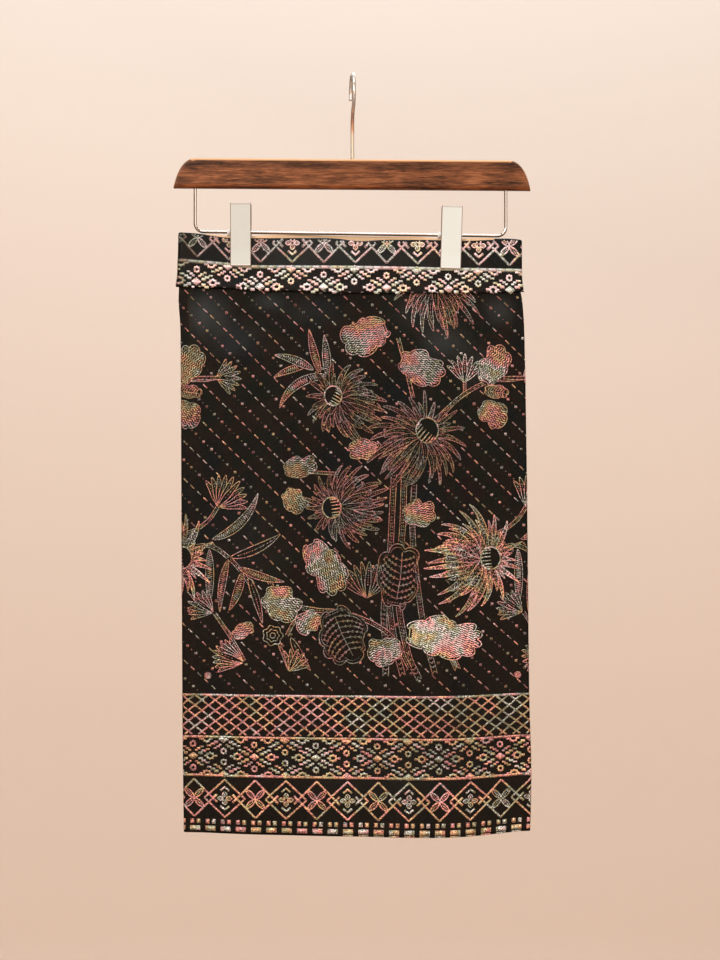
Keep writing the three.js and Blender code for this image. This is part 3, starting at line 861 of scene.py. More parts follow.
# %% Flowers
PETAL_RINGS = [  # how far out, share of the petals, how broad, how bright
    (0.50, 0.5, 1.00, 0.68),
    (0.76, 1.0, 1.00, 0.84),
    (1.00, 1.0, 1.05, 1.00),
]


def strap(length, width, bend, count=15, tip=0.4):
    """A petal along +x: it widens at once, tapers to a share `tip` of its width, and bends."""
    t = np.linspace(0, 1, count)
    taper = 1 - (1 - tip) * np.clip((t - 0.40) / 0.60, 0, 1) ** 1.4
    blunt = np.sqrt(1 - 0.94 * np.clip((t - 0.88) / 0.12, 0, 1) ** 2)
    half_width = width / 2 * np.minimum(1, 0.30 + 1.9 * t) * taper * blunt
    middle, _, outline = blade(bend * t**1.4, length, half_width)
    return middle, outline


def seed_head(canvas, head, reach, heading, tone, shine):
    """A disc with short ribs that run in from the half of its rim where the petals start."""
    t = np.linspace(0, 2 * math.pi, 29)
    disc = head + np.stack([np.cos(t) * 0.20, np.sin(t) * 0.225], -1) * reach
    toward = np.array([math.cos(heading), math.sin(heading)])
    strokes = [stroke(disc, 1.4, tone + 0.5, shine)]
    for turn in np.linspace(-1.25, 1.25, 8):
        way = heading + math.pi + turn
        rim = head + np.array([math.cos(way) * 0.19, math.sin(way) * 0.215]) * reach
        inner_end = rim + toward * reach * 0.20 * math.cos(turn * 0.9)
        strokes.append(stroke([rim, inner_end], [1.8, 0.7], tone + 0.4, shine))
    canvas.draw(strokes, [disc])


def flower(canvas, at, reach, petals, fat, lean, tall, tone, shine, seed):
    """A mop of strap petals that start under the seed head and droop away from it."""
    draws = np.random.default_rng(seed)
    heading = math.radians(lean)
    toward = np.array([math.cos(heading), math.sin(heading)])
    root = np.array(at) + toward * reach * 0.10
    head = np.array(at) + toward * reach * 0.27
    seed_head(canvas, head, reach, heading, tone, min(1.1, shine * 1.4))
    for far, share, broad, bright in PETAL_RINGS:
        count = int(petals * share)
        for k in draws.permutation(count):
            off = 2 * math.pi * (k + draws.uniform(-0.22, 0.22)) / count
            way = heading + off
            long = reach * far * draws.uniform(0.84, 1.04) * (0.96 - 0.16 * math.cos(off))
            long = long * math.hypot(math.cos(way), tall * math.sin(way))
            bend = (1.15 * math.sin(off) + draws.uniform(-0.30, 0.30)) * (0.6 + 0.4 * far)
            wide = fat * broad * draws.uniform(0.8, 1.2)
            middle, outline = strap(long, wide, bend, tip=0.4 if fat < 5 else 0.12)
            middle, outline = spun(middle, way, root), spun(outline, way, root)
            hue = tone + draws.uniform(-0.12, 0.12)
            glow = bright * shine * draws.uniform(0.65, 1.15)
            dots = beads(middle[3:-1], 2.6, 0.9, hue + 0.2, glow * 0.75)
            if fat > 5:  # a broad petal has two more rows, halfway out to its edges
                for edge_side in (outline[:15], outline[:14:-1]):
                    halfway = (middle * 0.45 + edge_side * 0.55)[2:-2]
                    dots += beads(halfway, 2.2, 1.0, hue + 0.06, glow * 0.85)
            canvas.draw([stroke(closed(outline), 0.85, hue, glow), *dots], [outline])


trial = Drawing()
flower(trial, (0, 0), 50, 22, 4.6, -90, 1.0, 0, 1, 3)
print("a flower has", len(trial.covers) - 1, "petals and", len(trial.strokes), "strokes")


# %% Lobed leaves
def scalloped(long, wide, lobes, seed, count=132):
    """An egg, narrow at the stem end, whose edge swells in lobes of uneven length and has one bay."""
    draws = np.random.default_rng(seed)
    ends = np.concatenate([[0], np.cumsum(draws.uniform(0.6, 1.4, lobes))])
    ends /= ends[-1]
    t = np.linspace(0, 1, count)
    which = np.clip(np.searchsorted(ends, t, side="right") - 1, 0, lobes - 1)
    swell = np.sin(math.pi * (t - ends[which]) / (ends[which + 1] - ends[which])) ** 0.6
    angle = (2 * t - 1) * 2.85
    bay = draws.choice([-1, 1]) * draws.uniform(0.9, 1.5)
    r = (0.84 + 0.18 * swell) * (1 - 0.30 * bell((angle - bay) / 0.55))
    x = r * np.cos(angle)
    return np.stack([x * long / 2, r * np.sin(angle) * (0.92 + 0.24 * x) * wide / 2], -1)


def wavy_leaf(canvas, at, long, wide, turn, lobes, tone, shine, gap=2.4):
    """A lobed outline filled with lines that wave in step and spread a little towards the tip."""
    outline = scalloped(long, wide, lobes, int(long * 7 + wide))
    lines = []
    for k, y in enumerate(np.arange(-0.62 * wide, 0.62 * wide, gap)):
        x = np.arange(-long / 2, long / 2, 0.85)
        fan = y * (0.90 + 0.30 * x / long) + 0.75 * np.sin(x * 2 * math.pi / 6.4 + 0.22 * k)
        one = stroke(np.stack([x, fan], -1), 1.28, tone + 0.05 * math.sin(0.9 * k), shine, 3)
        lines += kept_runs(one, inside(one[0], outline * 0.95))
    rim = spun(outline, math.radians(turn), at)
    edge_line = stroke(closed(rim), 0.95, tone + 0.1, shine * 0.9)
    canvas.draw([edge_line, *moved(lines, at, turn)], [rim])


def veined_leaf(canvas, at, long, wide, turn, lobes, tone, shine):
    """A dark leaf: a double outline, a midrib, and side veins swept forward, feathered with barbs."""
    outline = scalloped(long, wide, lobes, int(long * 5))
    midrib = np.array([[-0.45, 0.0], [0.0, 0.02], [0.38, 0.0]]) * long
    lines = [stroke(midrib, 0.9, tone, shine)]
    for x in np.linspace(-0.40, 0.26, 8):
        for up in (-1, 1):
            tall = up * 0.40 * wide / long
            sweep = [(x, 0.0), (x + 0.04, tall * 0.4), (x + 0.11, tall * 0.75), (x + 0.22, tall)]
            vein = smooth_path(sweep, 13)
            way = both_sides(vein, 0)[2]
            square_off = np.stack([-way[:, 1], way[:, 0]], -1)
            lines.append(stroke(vein * long, 0.8, tone + 0.1, shine * 0.8))
            for k in (2, 4, 6, 8, 10):
                for aside in (-1, 1):
                    tip = vein[k] + 0.034 * (0.80 * way[k] + 0.60 * aside * square_off[k])
                    barb = np.array([vein[k], tip]) * long
                    lines.append(stroke(barb, [1.0, 0.7], tone + 0.03 * k, shine, 1.0))
    lines = [run for one in lines for run in kept_runs(one, inside(one[0], outline * 0.86))]
    rim = spun(outline, math.radians(turn), at)
    inner_rim = spun(closed(outline) * 0.90, math.radians(turn), at)
    strokes = [stroke(closed(rim), 0.9, tone, shine)]
    strokes += beads(inner_rim, 2.4, 0.9, tone + 0.1, shine)
    canvas.draw([*strokes, *moved(lines, at, turn)], [rim])


trial = Drawing()
wavy_leaf(trial, (0, 0), 60, 40, 0, 7, 0, 1)
print("a wavy leaf has", len(trial.strokes), "strokes")


# %% Slender leaves
def slender_leaf(canvas, at, long, wide, turn, bend, tone, shine, filled=True):
    """A narrow curved blade, pointed at both ends; a filled one carries a close zigzag."""
    t = np.linspace(0, 1, 27)
    half_width = wide / 2 * np.sin(math.pi * t**0.8) ** 0.8
    middle, aside, outline = blade(bend * 1.6 * t, long, half_width)
    rim = spun(outline, math.radians(turn), at)
    strokes = [stroke(closed(rim), 0.8, tone, shine)]
    if filled:
        hatch = np.linspace(0.05, 0.95, max(8, int(long / 1.15))) * 26
        swing = np.where(np.arange(len(hatch)) % 2 == 0, 0.66, -0.66)[:, None]
        zigzag = rows_at(middle, hatch) + swing * rows_at(aside, hatch)
        zigzag = spun(zigzag, math.radians(turn), at)
        strokes.append(stroke(zigzag, 0.75, tone + 0.12, shine * 0.95, 9))
    else:
        dotted = spun(middle[3:-3], math.radians(turn), at)
        strokes += beads(dotted, 2.5, 1.0, tone + 0.2, shine * 0.9)
    canvas.draw(strokes, [rim])


trial = Drawing()
slender_leaf(trial, (0, 0), 42, 8, 0, 0.3, 0, 1)
print("its outline and zigzag have", [len(one[0]) for one in trial.strokes], "points")


# %% Buds, stems and small things
def fan_bud(canvas, at, long, spread, turn, petals, tone, shine):
    """Narrow petals that open like a fan from a small cup, the middle ones longest."""
    for k in np.argsort(abs(np.linspace(-1, 1, petals))):
        off = 2 * k / (petals - 1) - 1
        way = math.radians(turn + spread * off / 2)
        middle, outline = strap(long * (1 - 0.16 * abs(off)), long * 0.17, 0.35 * off, 11)
        middle, outline = spun(middle, way, at), spun(outline, way, at)
        dots = beads(middle[3:-1], 2.4, 0.9, tone + 0.15, shine * 0.9)
        canvas.draw([stroke(closed(outline), 0.85, tone + 0.1 * off, shine), *dots], [outline])


def rosette(canvas, at, reach, tone, shine):
    """A small round flower: a wavy rim, a smaller one, and a dot."""
    t = np.linspace(0, 2 * math.pi, 41)
    rim = np.stack([np.cos(t), np.sin(t)], -1) * (reach * (1 + 0.1 * np.cos(7 * t)))[:, None]
    strokes = [stroke(rim * k + at, 0.9, tone + 0.1 * k, shine) for k in (1.0, 0.62, 0.28)]
    canvas.draw(strokes, [rim[:-1] + at])


def stem(canvas, points, width, tone, shine):
    """Two lines side by side along a smooth path with a dotted line between them."""
    path = smooth_path(points)
    one, other, _ = both_sides(path, width)
    strokes = [stroke(one, 0.8, tone, shine), stroke(other, 0.8, tone + 0.1, shine)]
    strokes += beads(path, 2.4, 0.9, tone + 0.15, shine * 0.8)
    canvas.draw(strokes, [np.concatenate([one, other[::-1]])])


def root_ribbon(canvas, points, width, tone, shine):
    """A strip with two dotted lines inside, chevrons low down, and a swallowtail end."""
    path = smooth_path(points, 60)
    one, other, way = both_sides(path, width)
    tip = way[-1] * width * 0.62
    rim = np.concatenate([one, [one[-1] + tip, path[-1], other[-1] + tip], other[::-1]])
    strokes = [stroke(rim, 0.85, tone, shine)]
    for share in (-0.3, 0.3):
        inner = both_sides(path[:-8], width * share)[0]
        strokes += beads(inner, 2.3, [0.8, 1.1], tone + 0.15 + share / 4, shine * 0.85)
    for k in range(-22, -2, 3):
        left_end, right_end = one[k] * 0.8 + other[k] * 0.2, one[k] * 0.2 + other[k] * 0.8
        chevron = np.array([left_end, path[k] + way[k] * 1.8, right_end])
        strokes.append(stroke(chevron, 0.9, tone + 0.2, shine))
    canvas.draw(strokes, [rim])


trial = Drawing()
rosette(trial, (0, 0), 9.5, 0, 1)
print("a rosette has", len(trial.strokes), "strokes and", len(trial.covers), "cover")

# %% [markdown]
# ## The garden
# The motifs are set out in one repeat, 308 mm wide, and the loom weaves it again and again round
# the tube. The tables give each kind's place in that repeat, in millimetres from the front's
# middle and down from the hook, with its size and the way it leans. Front things come first.

# %% Where the motifs stand
REPEAT = 308.0
FLOWERS = [  # across, down, reach, petals, petal width, lean, tall, tone, shine, seed
    (64, 366, 56, 26, 4.5, -50, 1.0, 0.92, 0.62, 3),
    (-10, 326, 44, 21, 4.6, -150, 1.05, 0.12, 0.66, 4),
    (122, 484, 50, 21, 6.0, -6, 1.28, 0.00, 1.62, 5),
    (-10, 430, 47, 24, 4.4, 172, 1.02, 0.90, 0.66, 6),
    (88, 214, 50, 22, 4.8, -100, 0.95, 0.92, 0.95, 7),
]
WAVY = [  # across, down, long, wide, turn, lobes, tone, shine, and the gap between lines if close
    (86, 560, 80, 46, 6, 10, 0.66, 1.85, 2.25),
    (14, 259, 52, 42, 160, 7, 0.74, 1.0),
    (68, 291, 50, 38, 20, 7, 0.86, 0.95),
    (141, 290, 44, 32, -62, 7, 0.62, 1.1),
    (139, 338, 32, 30, 35, 5, 0.20, 1.0),
    (-31, 490, 62, 40, 60, 8, 0.62, 1.1),
    (-74, 527, 42, 38, 28, 6, 0.20, 1.25),
    (30, 574, 36, 32, 168, 7, 0.72, 1.1),
    (64, 437, 34, 30, -12, 6, 0.40, 1.05),
    (11, 374, 32, 24, 176, 6, 0.02, 1.0),
    (-46, 546, 28, 25, 132, 5, 0.36, 1.15),
    (-60, 424, 28, 26, 40, 6, 0.02, 1.0),
    (-55, 391, 36, 24, -14, 4, 0.56, 0.8),
    (-112, 556, 24, 16, -28, 5, 0.05, 1.1),
]
VEINED = [
    (44, 502, 68, 48, -82, 8, 0.98, 0.62),
    (-12, 558, 62, 54, 66, 8, 0.58, 0.62),
    (143, 316, 26, 15, 10, 5, 0.02, 0.8),
]
SLENDER = [  # across, down, long, wide, turn, bend, tone, shine, filled
    (-40, 294, 42, 8, 214, -0.30, 0.72, 1.0, True),
    (-46, 290, 36, 6.5, 172, -0.25, 0.95, 0.9, True),
    (-24, 301, 64, 8.5, 186, -0.86, 0.48, 1.0, True),
    (-33, 298, 46, 7.5, -108, 0.10, 0.92, 0.85, True),
    (-26, 300, 41, 8, -90, -0.08, 0.62, 0.95, True),
    (-142, 464, 68, 8.5, -18, -0.62, 0.60, 1.0, True),
    (-145, 474, 60, 8, 88, 0.06, 0.44, 0.95, True),
    (-124, 482, 56, 8.5, -12, -0.30, 0.02, 0.95, False),
    (-116, 492, 48, 7.5, 26, -0.20, 0.18, 1.0, True),
    (-126, 484, 54, 7, 108, -0.20, 0.96, 0.95, True),
    (-112, 496, 42, 8, 98, 0.25, 0.30, 1.0, True),
    (-106, 502, 48, 7, 68, 0.12, 0.60, 0.9, False),
    (-64, 562, 38, 7, 66, -0.15, 0.10, 0.9, False),
]
FANS = [  # across, down, long, spread, turn, petals, tone, shine
    (112, 306, 28, 84, -88, 7, 0.66, 1.2),
    (-137, 302, 25, 100, -6, 8, 0.04, 0.9),
    (-136, 431, 34, 104, -56, 10, 0.96, 0.85),
    (12, 521, 36, 104, -92, 10, 0.30, 0.7),
    (-142, 537, 27, 84, 210, 8, 0.42, 0.85),
    (-112, 587, 32, 70, 200, 9, 0.08, 1.15),
    (-66, 595, 24, 76, -58, 6, 0.30, 1.0),
]
ROSETTES = [  # across, down, reach, tone, shine
    (-82, 560, 9.5, 0.12, 0.95),
    (-147, 601, 3.0, 0.7, 0.95),
]
STEMS = [  # width, tone, shine, then the places it passes
    (3.2, 0.98, 0.95, [(46, 262), (54, 296), (60, 322)]),
    (3.4, 0.00, 0.90, [(84, 342), (112, 318), (142, 304), (176, 302)]),
    (2.6, 0.05, 0.90, [(112, 318), (112, 306)]),
    (3.2, 0.05, 0.90, [(-176, 304), (-150, 304), (-137, 302)]),
    (3.6, 0.00, 0.95, [(-188, 482), (-150, 470), (-126, 482), (-106, 506), (-96, 530)]),
    (3.2, 0.10, 0.90, [(-136, 431), (-146, 445), (-162, 456), (-176, 458)]),
    (4.0, 0.00, 1.00, [(-88, 500), (-72, 526), (-40, 534), (-6, 538), (34, 558), (54, 592)]),
    (3.0, 0.96, 0.90, [(-36, 534), (-58, 544), (-68, 560)]),
    (3.0, 0.98, 0.95, [(-140, 538), (-124, 562), (-110, 586)]),
    (2.6, 0.00, 0.90, [(-78, 562), (-72, 578), (-66, 594)]),
    (2.8, 0.10, 0.90, [(-16, 398), (-46, 396)]),
]
RIBBONS = [  # width, tone, shine, then the places it passes
    (5.6, 0.95, 0.72, [(50, 400), (48, 450), (43, 520), (52, 576), (62, 600)]),
    (5.4, 0.90, 0.66, [(40, 398), (37, 450), (34, 520), (40, 570), (46, 596)]),
    (5.0, 0.20, 0.66, [(60, 408), (58, 460), (65, 530), (72, 570), (78, 594)]),
    (5.6, 0.85, 0.66, [(37, 470), (29, 530), (30, 570), (30, 596)]),
    (6.0, 0.05, 0.90, [(88, 560), (94, 576), (100, 590)]),
]
print(len(FLOWERS), "flowers,", len(WAVY) + len(VEINED) + len(SLENDER), "leaves in each repeat")

# %% [markdown]
# ## Drawing the garden round the tube
# The tube's seam is near the left fold, at the back. The cloth starts and ends there, so the
# repeat is drawn over as much of the tube as it covers, and cut off at the seam.

# %% The garden on the cloth
SEAM_AT = 3 * HALF_ROUND - 18
CLOTH_START = SEAM_AT - ROUND
KINDS = [  # from the front one to the back one
    (flower, FLOWERS),
    (wavy_leaf, WAVY),
    (veined_leaf, VEINED),
    (fan_bud, FANS),
    (rosette, ROSETTES),
    (slender_leaf, SLENDER),
]
garden = Drawing()


def shown(u, reach):
    """True if something that stands at u, and reaches so far to each side, falls on the tube."""
    return CLOTH_START - reach < u < SEAM_AT + reach


for copy in (-1, 0, 1, 2):
    shift = np.array([copy * REPEAT, 0.0])
    for draw_kind, rows in KINDS:
        for row in rows:
            if shown(row[0] + shift[0], 60):
                draw_kind(garden, shift + row[:2], *row[2:])
    for draw_kind, rows in ((stem, STEMS), (root_ribbon, RIBBONS)):
        for width, tone, shine, path in rows:
            if shown(path[0][0] + shift[0], 110):
                draw_kind(garden, shift + np.array(path), width, tone, shine)
print(len(garden.strokes), "strokes,", len(garden.covers), "covers")

# %% [markdown]
# ## The striped ground
# Between the motifs run fine diagonals that go about as far across as down: a dashed line, then a
# line of small squares with dots between them, then a dashed line again. They pass behind the
# garden, so each mark is dropped where a cover lies.

# %% Diagonal dashes and squares
PITCH = 38.8  # from one dashed line to the next, level
FIRST_DASHES = -166.9  # where one dashed line starts, across
GROUND_TOP, GROUND_FOOT = 214, 619
DASH_DROP, SQUARE_DROP = 6.3, 7.6  # from one mark of a line to the next, down


def slanting(v):
    """How far a diagonal has gone across by v: one for one, and a little more lower down."""
    return 0.99 * (v - 215) + 0.000125 * (v - 215) ** 2


marks = []
for k in range(-22, 24):
    start = FIRST_DASHES + PITCH * k
    for j, v in enumerate(np.arange(GROUND_TOP, GROUND_FOOT, DASH_DROP)):
        u = start + slanting(v)
        if CLOTH_START < u < SEAM_AT - 4:
            hue = 0.95 + 0.16 * math.sin(k * 2.1 + j * 1.7)
            glow = 0.78 + 0.25 * math.sin(k + j * 2.3)
            marks.append(stroke([(u, v), (u + 3.9, v + 3.9)], [1.2, 1.35], hue, glow, 9))
    for j, v in enumerate(np.arange(GROUND_TOP + 3 * (k % 2), GROUND_FOOT, SQUARE_DROP)):
        u = start + PITCH / 2 + slanting(v)
        if CLOTH_START < u < SEAM_AT - 4:
            hue = 0.86 + 0.3 * math.sin(k * 1.3 + j * 2.9)
            glow = 0.56 + 0.24 * math.cos(2 * k + j * 1.9)
            dot = [(u + 3.4, v + 3.8), (u + 4.5, v + 3.8)]
            marks.append(stroke([(u - 1.35, v), (u + 1.35, v)], 2.7, hue, glow, 9))
            marks.append(stroke(dot, 1.2, hue + 0.2, glow * 0.6, 9))
garden_only = len(garden.strokes)
garden.draw(marks, whole=True)
print(len(garden.strokes) - garden_only, "marks kept of", len(marks))


# %% Keeping the thread on the cloth
def shortened(one, most=9):
    """A long stroke in lengths of at most so many points, each of which can have its own shine."""
    path, width, tone, shine = one
    cuts = range(0, max(1, len(path) - 1), most)
    return [(path[a : a + most + 1], width[a : a + most + 1], tone, shine) for a in cuts]


def trimmed(strokes, low_u, high_u, low_v, high_v):
    """The strokes, cut off outside a stretch of the cloth."""
    kept = []
    for one in strokes:
        u, v = one[0].T
        kept += kept_runs(one, (u > low_u) & (u < high_u) & (v > low_v) & (v < high_v))
    return kept


def on_front(one):
    """True for a stroke whose middle lies on the tube's front half."""
    middle = (one[0][:, 0].mean() + HALF_ROUND) % ROUND - HALF_ROUND
    return abs(middle) < HALF_ROUND


def on_left(one):
    """True for a stroke whose middle lies left of the tube's own middle, on either face."""
    return across(one[0][:, 0].mean())[0] < 0


def painted_fold_shade(one, duller):
    """Near the left side fold the thread is painted duller and browner, as shade and a warm reflection.
    """
    path, width, tone, shine = one
    painted_lighting = 1 - ramp(-173, -150, across(path[:, 0].mean())[0])
    return path, width, tone + (0.14 - tone) * painted_lighting, shine * (1 - duller * painted_lighting)


print("20 points in lengths:", [len(one[0]) for one in shortened(stroke([(0, 0), (19, 0)], step=1))])

# %% The garden's four pieces
FIRST_U, LAST_U = CLOTH_START + 1, SEAM_AT - 1
field = trimmed(garden.strokes, FIRST_U, LAST_U, 213, 616)
field = [painted_fold_shade(one, 0.25) for one in field]
for face, front in (("front", True), ("back", False)):
    for half, left in (("left", True), ("right", False)):
        part = [one for one in field if on_front(one) == front and on_left(one) == left]
        lay(f"garden_{face}_{half}", part, on_body, THREAD)

# %% [markdown]
# ## The border
# Below the garden come the rows of a traditional border: a line, a lattice, a band of stepped
# medallions between lines, a row of crossing diamonds, and small squares and bars at the hem.
# A medallion is charted once: a diamond, a ring flower above and below, a spiked ring at each
# side, and stepped bars between. A whole row of them fills the band, and staggered rows above and
# below show only where the band's edges leave them.


# %% Medallions
def mirrored(one):
    """A stroke and its mirror images across both axes."""
    path, width, tone, shine = one
    return [(path * [a, b], width, tone, shine) for a in (1, -1) for b in (1, -1)]


def ring_stroke(x, y, rx, ry, width, tone, shine, count=17):
    """A small ring whose rim swells eight times round, in its line and in its radius."""
    t = np.linspace(0, 2 * math.pi, count)
    bumps = width * (1 + 0.20 * np.cos(8 * t))
    swell = 1 + 0.10 * np.cos(8 * t)
    rim = np.stack([x + rx * swell * np.cos(t), y + ry * swell * np.sin(t)], -1)
    return stroke(rim, bumps, tone, shine, 9)


def bricks(rows, tone, shine):
    """An arm of the medallion: short level floats, each row a middle, a half length and a height."""
    return [
        stroke([(x - half, y), (x + half, y)], high, tone + 0.03 * x, shine, 9)
        for x, y, half, high in rows
    ]


NEAR_ARM = [(3.2, 5.7, 1.4, 2.0), (5.5, 7.4, 1.7, 2.3), (8.5, 9.2, 1.8, 1.9)]
FAR_ARM = [(7.4, 2.9, 2.2, 2.8), (10.7, 4.9, 2.2, 2.6), (14.5, 6.7, 2.1, 1.9)]


def medallion(tone, shine):
    """One quarter's arms are charted, and mirrored; the rest lies on the two axes."""
    core = [(-4.8, 0), (-3.4, 0), (0, 0), (3.4, 0), (4.8, 0)]
    strokes = [stroke(core, [0.8, 3.0, 7.6, 3.0, 0.8], tone, shine, 9)]
    for up in (-1, 1):
        strokes.append(ring_stroke(0, up * 12.1, 2.4, 2.4, 2.1, tone + 0.1, shine))
        strokes.append(ring_stroke(up * 16.9, 0, 3.4, 2.8, 2.4, tone + 0.05, shine))
        strokes.append(stroke([(up * 10.7, 0), (up * 13.0, 0)], [0.8, 2.6], tone, shine, 9))
        strokes.append(stroke([(up * 20.8, 0), (up * 24.2, 0)], [2.4, 2.4], tone, shine, 9))
    arms = bricks(NEAR_ARM, tone - 0.1, shine) + bricks(FAR_ARM, tone + 0.08, shine)
    return strokes + [copy for one in arms for copy in mirrored(one)]


print("a medallion has", len(medallion(0, 1)), "strokes")


# %% Diamonds and what they hold
def diamond(tone, shine):
    """The outline of the diamonds that hold a four-petalled flower."""
    corners = np.array([(-20.2, 0), (0, -19.0), (20.2, 0), (0, 19.0), (-20.2, 0)], float)
    return [stroke(corners, 2.0, tone, shine, 3)]


def crossing_diamond(tone, shine):
    """The diamonds between: their edges run on past the side corners and cross there."""
    quarter = [(0, 19.0), (17.6, 1.0), (18.6, 0.0), (19.6, -1.0), (22.6, -4.0)]
    return mirrored(stroke(quarter, [2.0, 2.0, 2.6, 2.6, 2.3], tone, shine, 3))


def lens(long, half_width, start=0.0):
    """A closed petal along +x, pointed at both ends."""
    t = np.linspace(0, 1, 9)
    edge_above = np.stack([start + long * t, half_width * np.sin(math.pi * t) ** 0.8], -1)
    return np.concatenate([edge_above, (edge_above * [1, -1])[::-1]])


def crossed_petals(tone, shine):
    """Four petals pointed at both ends that meet at the middle, each with a dotted vein."""
    way = math.atan2(10.2, 9.9)
    vein = spun(np.array([[2.6, 0.0], [11.6, 0.0]]), way)
    strokes = [stroke(spun(lens(13.6, 2.3), way), 1.35, tone, shine, 3)]
    strokes += beads(vein, 1.8, 1.7, tone + 0.1, shine)
    return [copy for one in strokes for copy in mirrored(one)]


def quatrefoil(tone, shine):
    """A four-petalled flower, each petal a filled loop, with a chevron above and below."""
    strokes = []
    for turn, long, wide in ((0, 5.9, 1.9), (90, 5.2, 2.1), (180, 5.9, 1.9), (270, 5.2, 2.1)):
        way = math.radians(turn)
        petal = spun(lens(long, wide, 1.3), way)
        strokes.append(stroke(petal, 1.3, tone + 0.001 * turn, shine, 9))
        heart = spun(np.array([[2.6, 0.0], [long - 0.2, 0.0]]), way)
        strokes.append(stroke(heart, 1.2, tone + 0.3, shine * 0.85, 9))
    for up in (-1, 1):
        chevron = [(-4.4, up * 7.8), (0, up * 11.4), (4.4, up * 7.8)]
        strokes.append(stroke(chevron, 2.2, tone + 0.2, shine, 9))
    return strokes


print("strokes:", [len(draw_one(0, 1)) for draw_one in (crossing_diamond, crossed_petals, quatrefoil)])


# %% The border's measures
STEP = 60.75  # from one medallion to the next, and twice a diamond's
LATTICE_TOP, LATTICE_FOOT = 620.6, 662.4
LATTICE_WIDE, LATTICE_TALL = 13.55, 10.6  # one diamond of the net
LATTICE_AT = -160.6  # where two of its lines cross
MEDALLIONS_TOP, MEDALLIONS_FOOT = 663.0, 701.6
DIAMONDS_TOP, DIAMONDS_FOOT = 703.0, 746.0
SQUARES_TOP, SQUARES_FOOT = 746.4, 750.8
BARS_MIDDLE = 755.6
everywhere = np.arange(FIRST_U, LAST_U + 2, 4.0)


def lattice(first, last, tone, shine):
    """Two sets of slanting lines that cross in a net of diamonds, from one place across to another."""
    run = (LATTICE_FOOT - LATTICE_TOP) * LATTICE_WIDE / LATTICE_TALL
    return [
        stroke([(start, LATTICE_TOP), (start + lean * run, LATTICE_FOOT)],
               1.9, tone + 0.0013 * start, shine, 3)
        for start in np.arange(first - run, last + run, LATTICE_WIDE)
        for lean in (1, -1)
    ]


def level_line(v, width, tone, shine):
    """A line all the way round the tube, v millimetres down."""
    return stroke(np.stack([everywhere, v + 0 * everywhere], -1), width, tone, shine, 4)


print("medallions in a row:", round(ROUND / STEP, 1))

# %% The border's rows
border = [level_line(LATTICE_TOP, 2.4, 0.62, 1.0)]
net = lattice(LATTICE_AT, LAST_U + 20, 0.12, 0.98)
border += trimmed(net, FIRST_U, LAST_U, 620, 662)
net = lattice(LATTICE_AT - LATTICE_WIDE * 6, LATTICE_AT - 0.1, 0.12, 0.98)
border += trimmed(net, FIRST_U, -203, 620, 662)
border.append(level_line(662.9, 2.5, 0.15, 1.0))
medallions = []
for k in range(-5, 11):
    here = -101.3 + STEP * k
    shine = 1.14 + 0.15 * math.sin(k * 1.9)
    medallions += moved(medallion(0.12 + 0.06 * math.sin(k), shine), (here, 682.3))
    for row_at in (665.1, 700.3):
        medallions += moved(medallion(0.15 + 0.05 * math.cos(k), shine), (here + STEP / 2, row_at))
border += trimmed(medallions, FIRST_U, LAST_U, MEDALLIONS_TOP, MEDALLIONS_FOOT)
border.append(level_line(701.8, 2.6, 0.12, 1.0))
for k in range(-11, 23):
    here = -100.6 + STEP / 2 * k
    middle = (here, 724.9)
    tone, shine = 0.14 + 0.1 * math.sin(k * 1.7), 1.15 + 0.12 * math.cos(k * 2.3)
    if k % 2:
        motif = [*diamond(tone, shine), *quatrefoil(tone + 0.1, shine * 1.15)]
    else:
        motif = [*crossing_diamond(tone, shine), *crossed_petals(tone, shine * 1.1)]
    border += trimmed(moved(motif, middle), FIRST_U, LAST_U, DIAMONDS_TOP, DIAMONDS_FOOT)
    for half_step in (0, STEP / 4):
        centre = here + half_step + 0.9
        for dx in (-3.1, 3.1):
            square = [(centre + dx, SQUARES_TOP), (centre + dx, SQUARES_FOOT)]
            border.append(stroke(square, 3.9, tone + dx * 0.05, shine * 1.1, 9))
        hue = tone + 0.3 * math.sin(k * 2.7 + half_step)
        bar_ends = np.array([(centre - 5.3, BARS_MIDDLE), (centre + 4.7, BARS_MIDDLE)])
        border.append(stroke(bar_ends, 4.9, hue, shine * 1.1, 5))
        if -10 < here < 165:  # where the cloth is longest, part of a second row shows
            border.append(stroke(bar_ends + [0, 4.0], 1.6, 0.18, 0.9, 5))
print(len(border), "strokes in the border")

# %% The border's light and dark
# painted shade: each row dims the border's thread where the cloth tilts from the light
DULL = [  # across, down, half width, half height, how much duller; it tilts from the light there
    (92, 640, 62, 34, 0.36), (150, 652, 40, 26, 0.25), (86, 680, 60, 20, 0.36),
    (152, 676, 44, 14, 0.28), (26, 690, 40, 18, 0.20), (60, 724, 26, 24, 0.25),
    (150, 722, 34, 26, 0.28), (-60, 652, 30, 20, 0.18), (300, 650, 90, 40, 0.30),
    (430, 690, 70, 30, 0.30),
]


def with_painted_shade(one):
    """Painted shade where the border tilts from the light: each row of DULL takes its share of the
    shine.
    """
    path, width, tone, shine = one
    u, v = path.mean(0)
    for at_u, at_v, wide, tall, share in DULL:
        shine = shine * (1 - share * bell((u - at_u) / wide) * bell((v - at_v) / tall))
    return path, width, tone, shine


border = trimmed(border, FIRST_U, LAST_U, 617, 760)
border = [with_painted_shade(painted_fold_shade(short, 0.2)) for one in border for short in shortened(one)]
lay("border_front", [one for one in border if on_front(one)], on_body, BORDER_THREAD)
lay("border_back", [one for one in border if not on_front(one)], on_body, BORDER_THREAD)

# %% [markdown]
# ## The waistband's pattern
# The waistband is cut from the same border, the other way up: the diamonds run off over the top
# fold, a line crosses under them, and the medallions hang from it down to the lower fold. The
# strip isn't sewn on quite level, so its line drops from left to right.

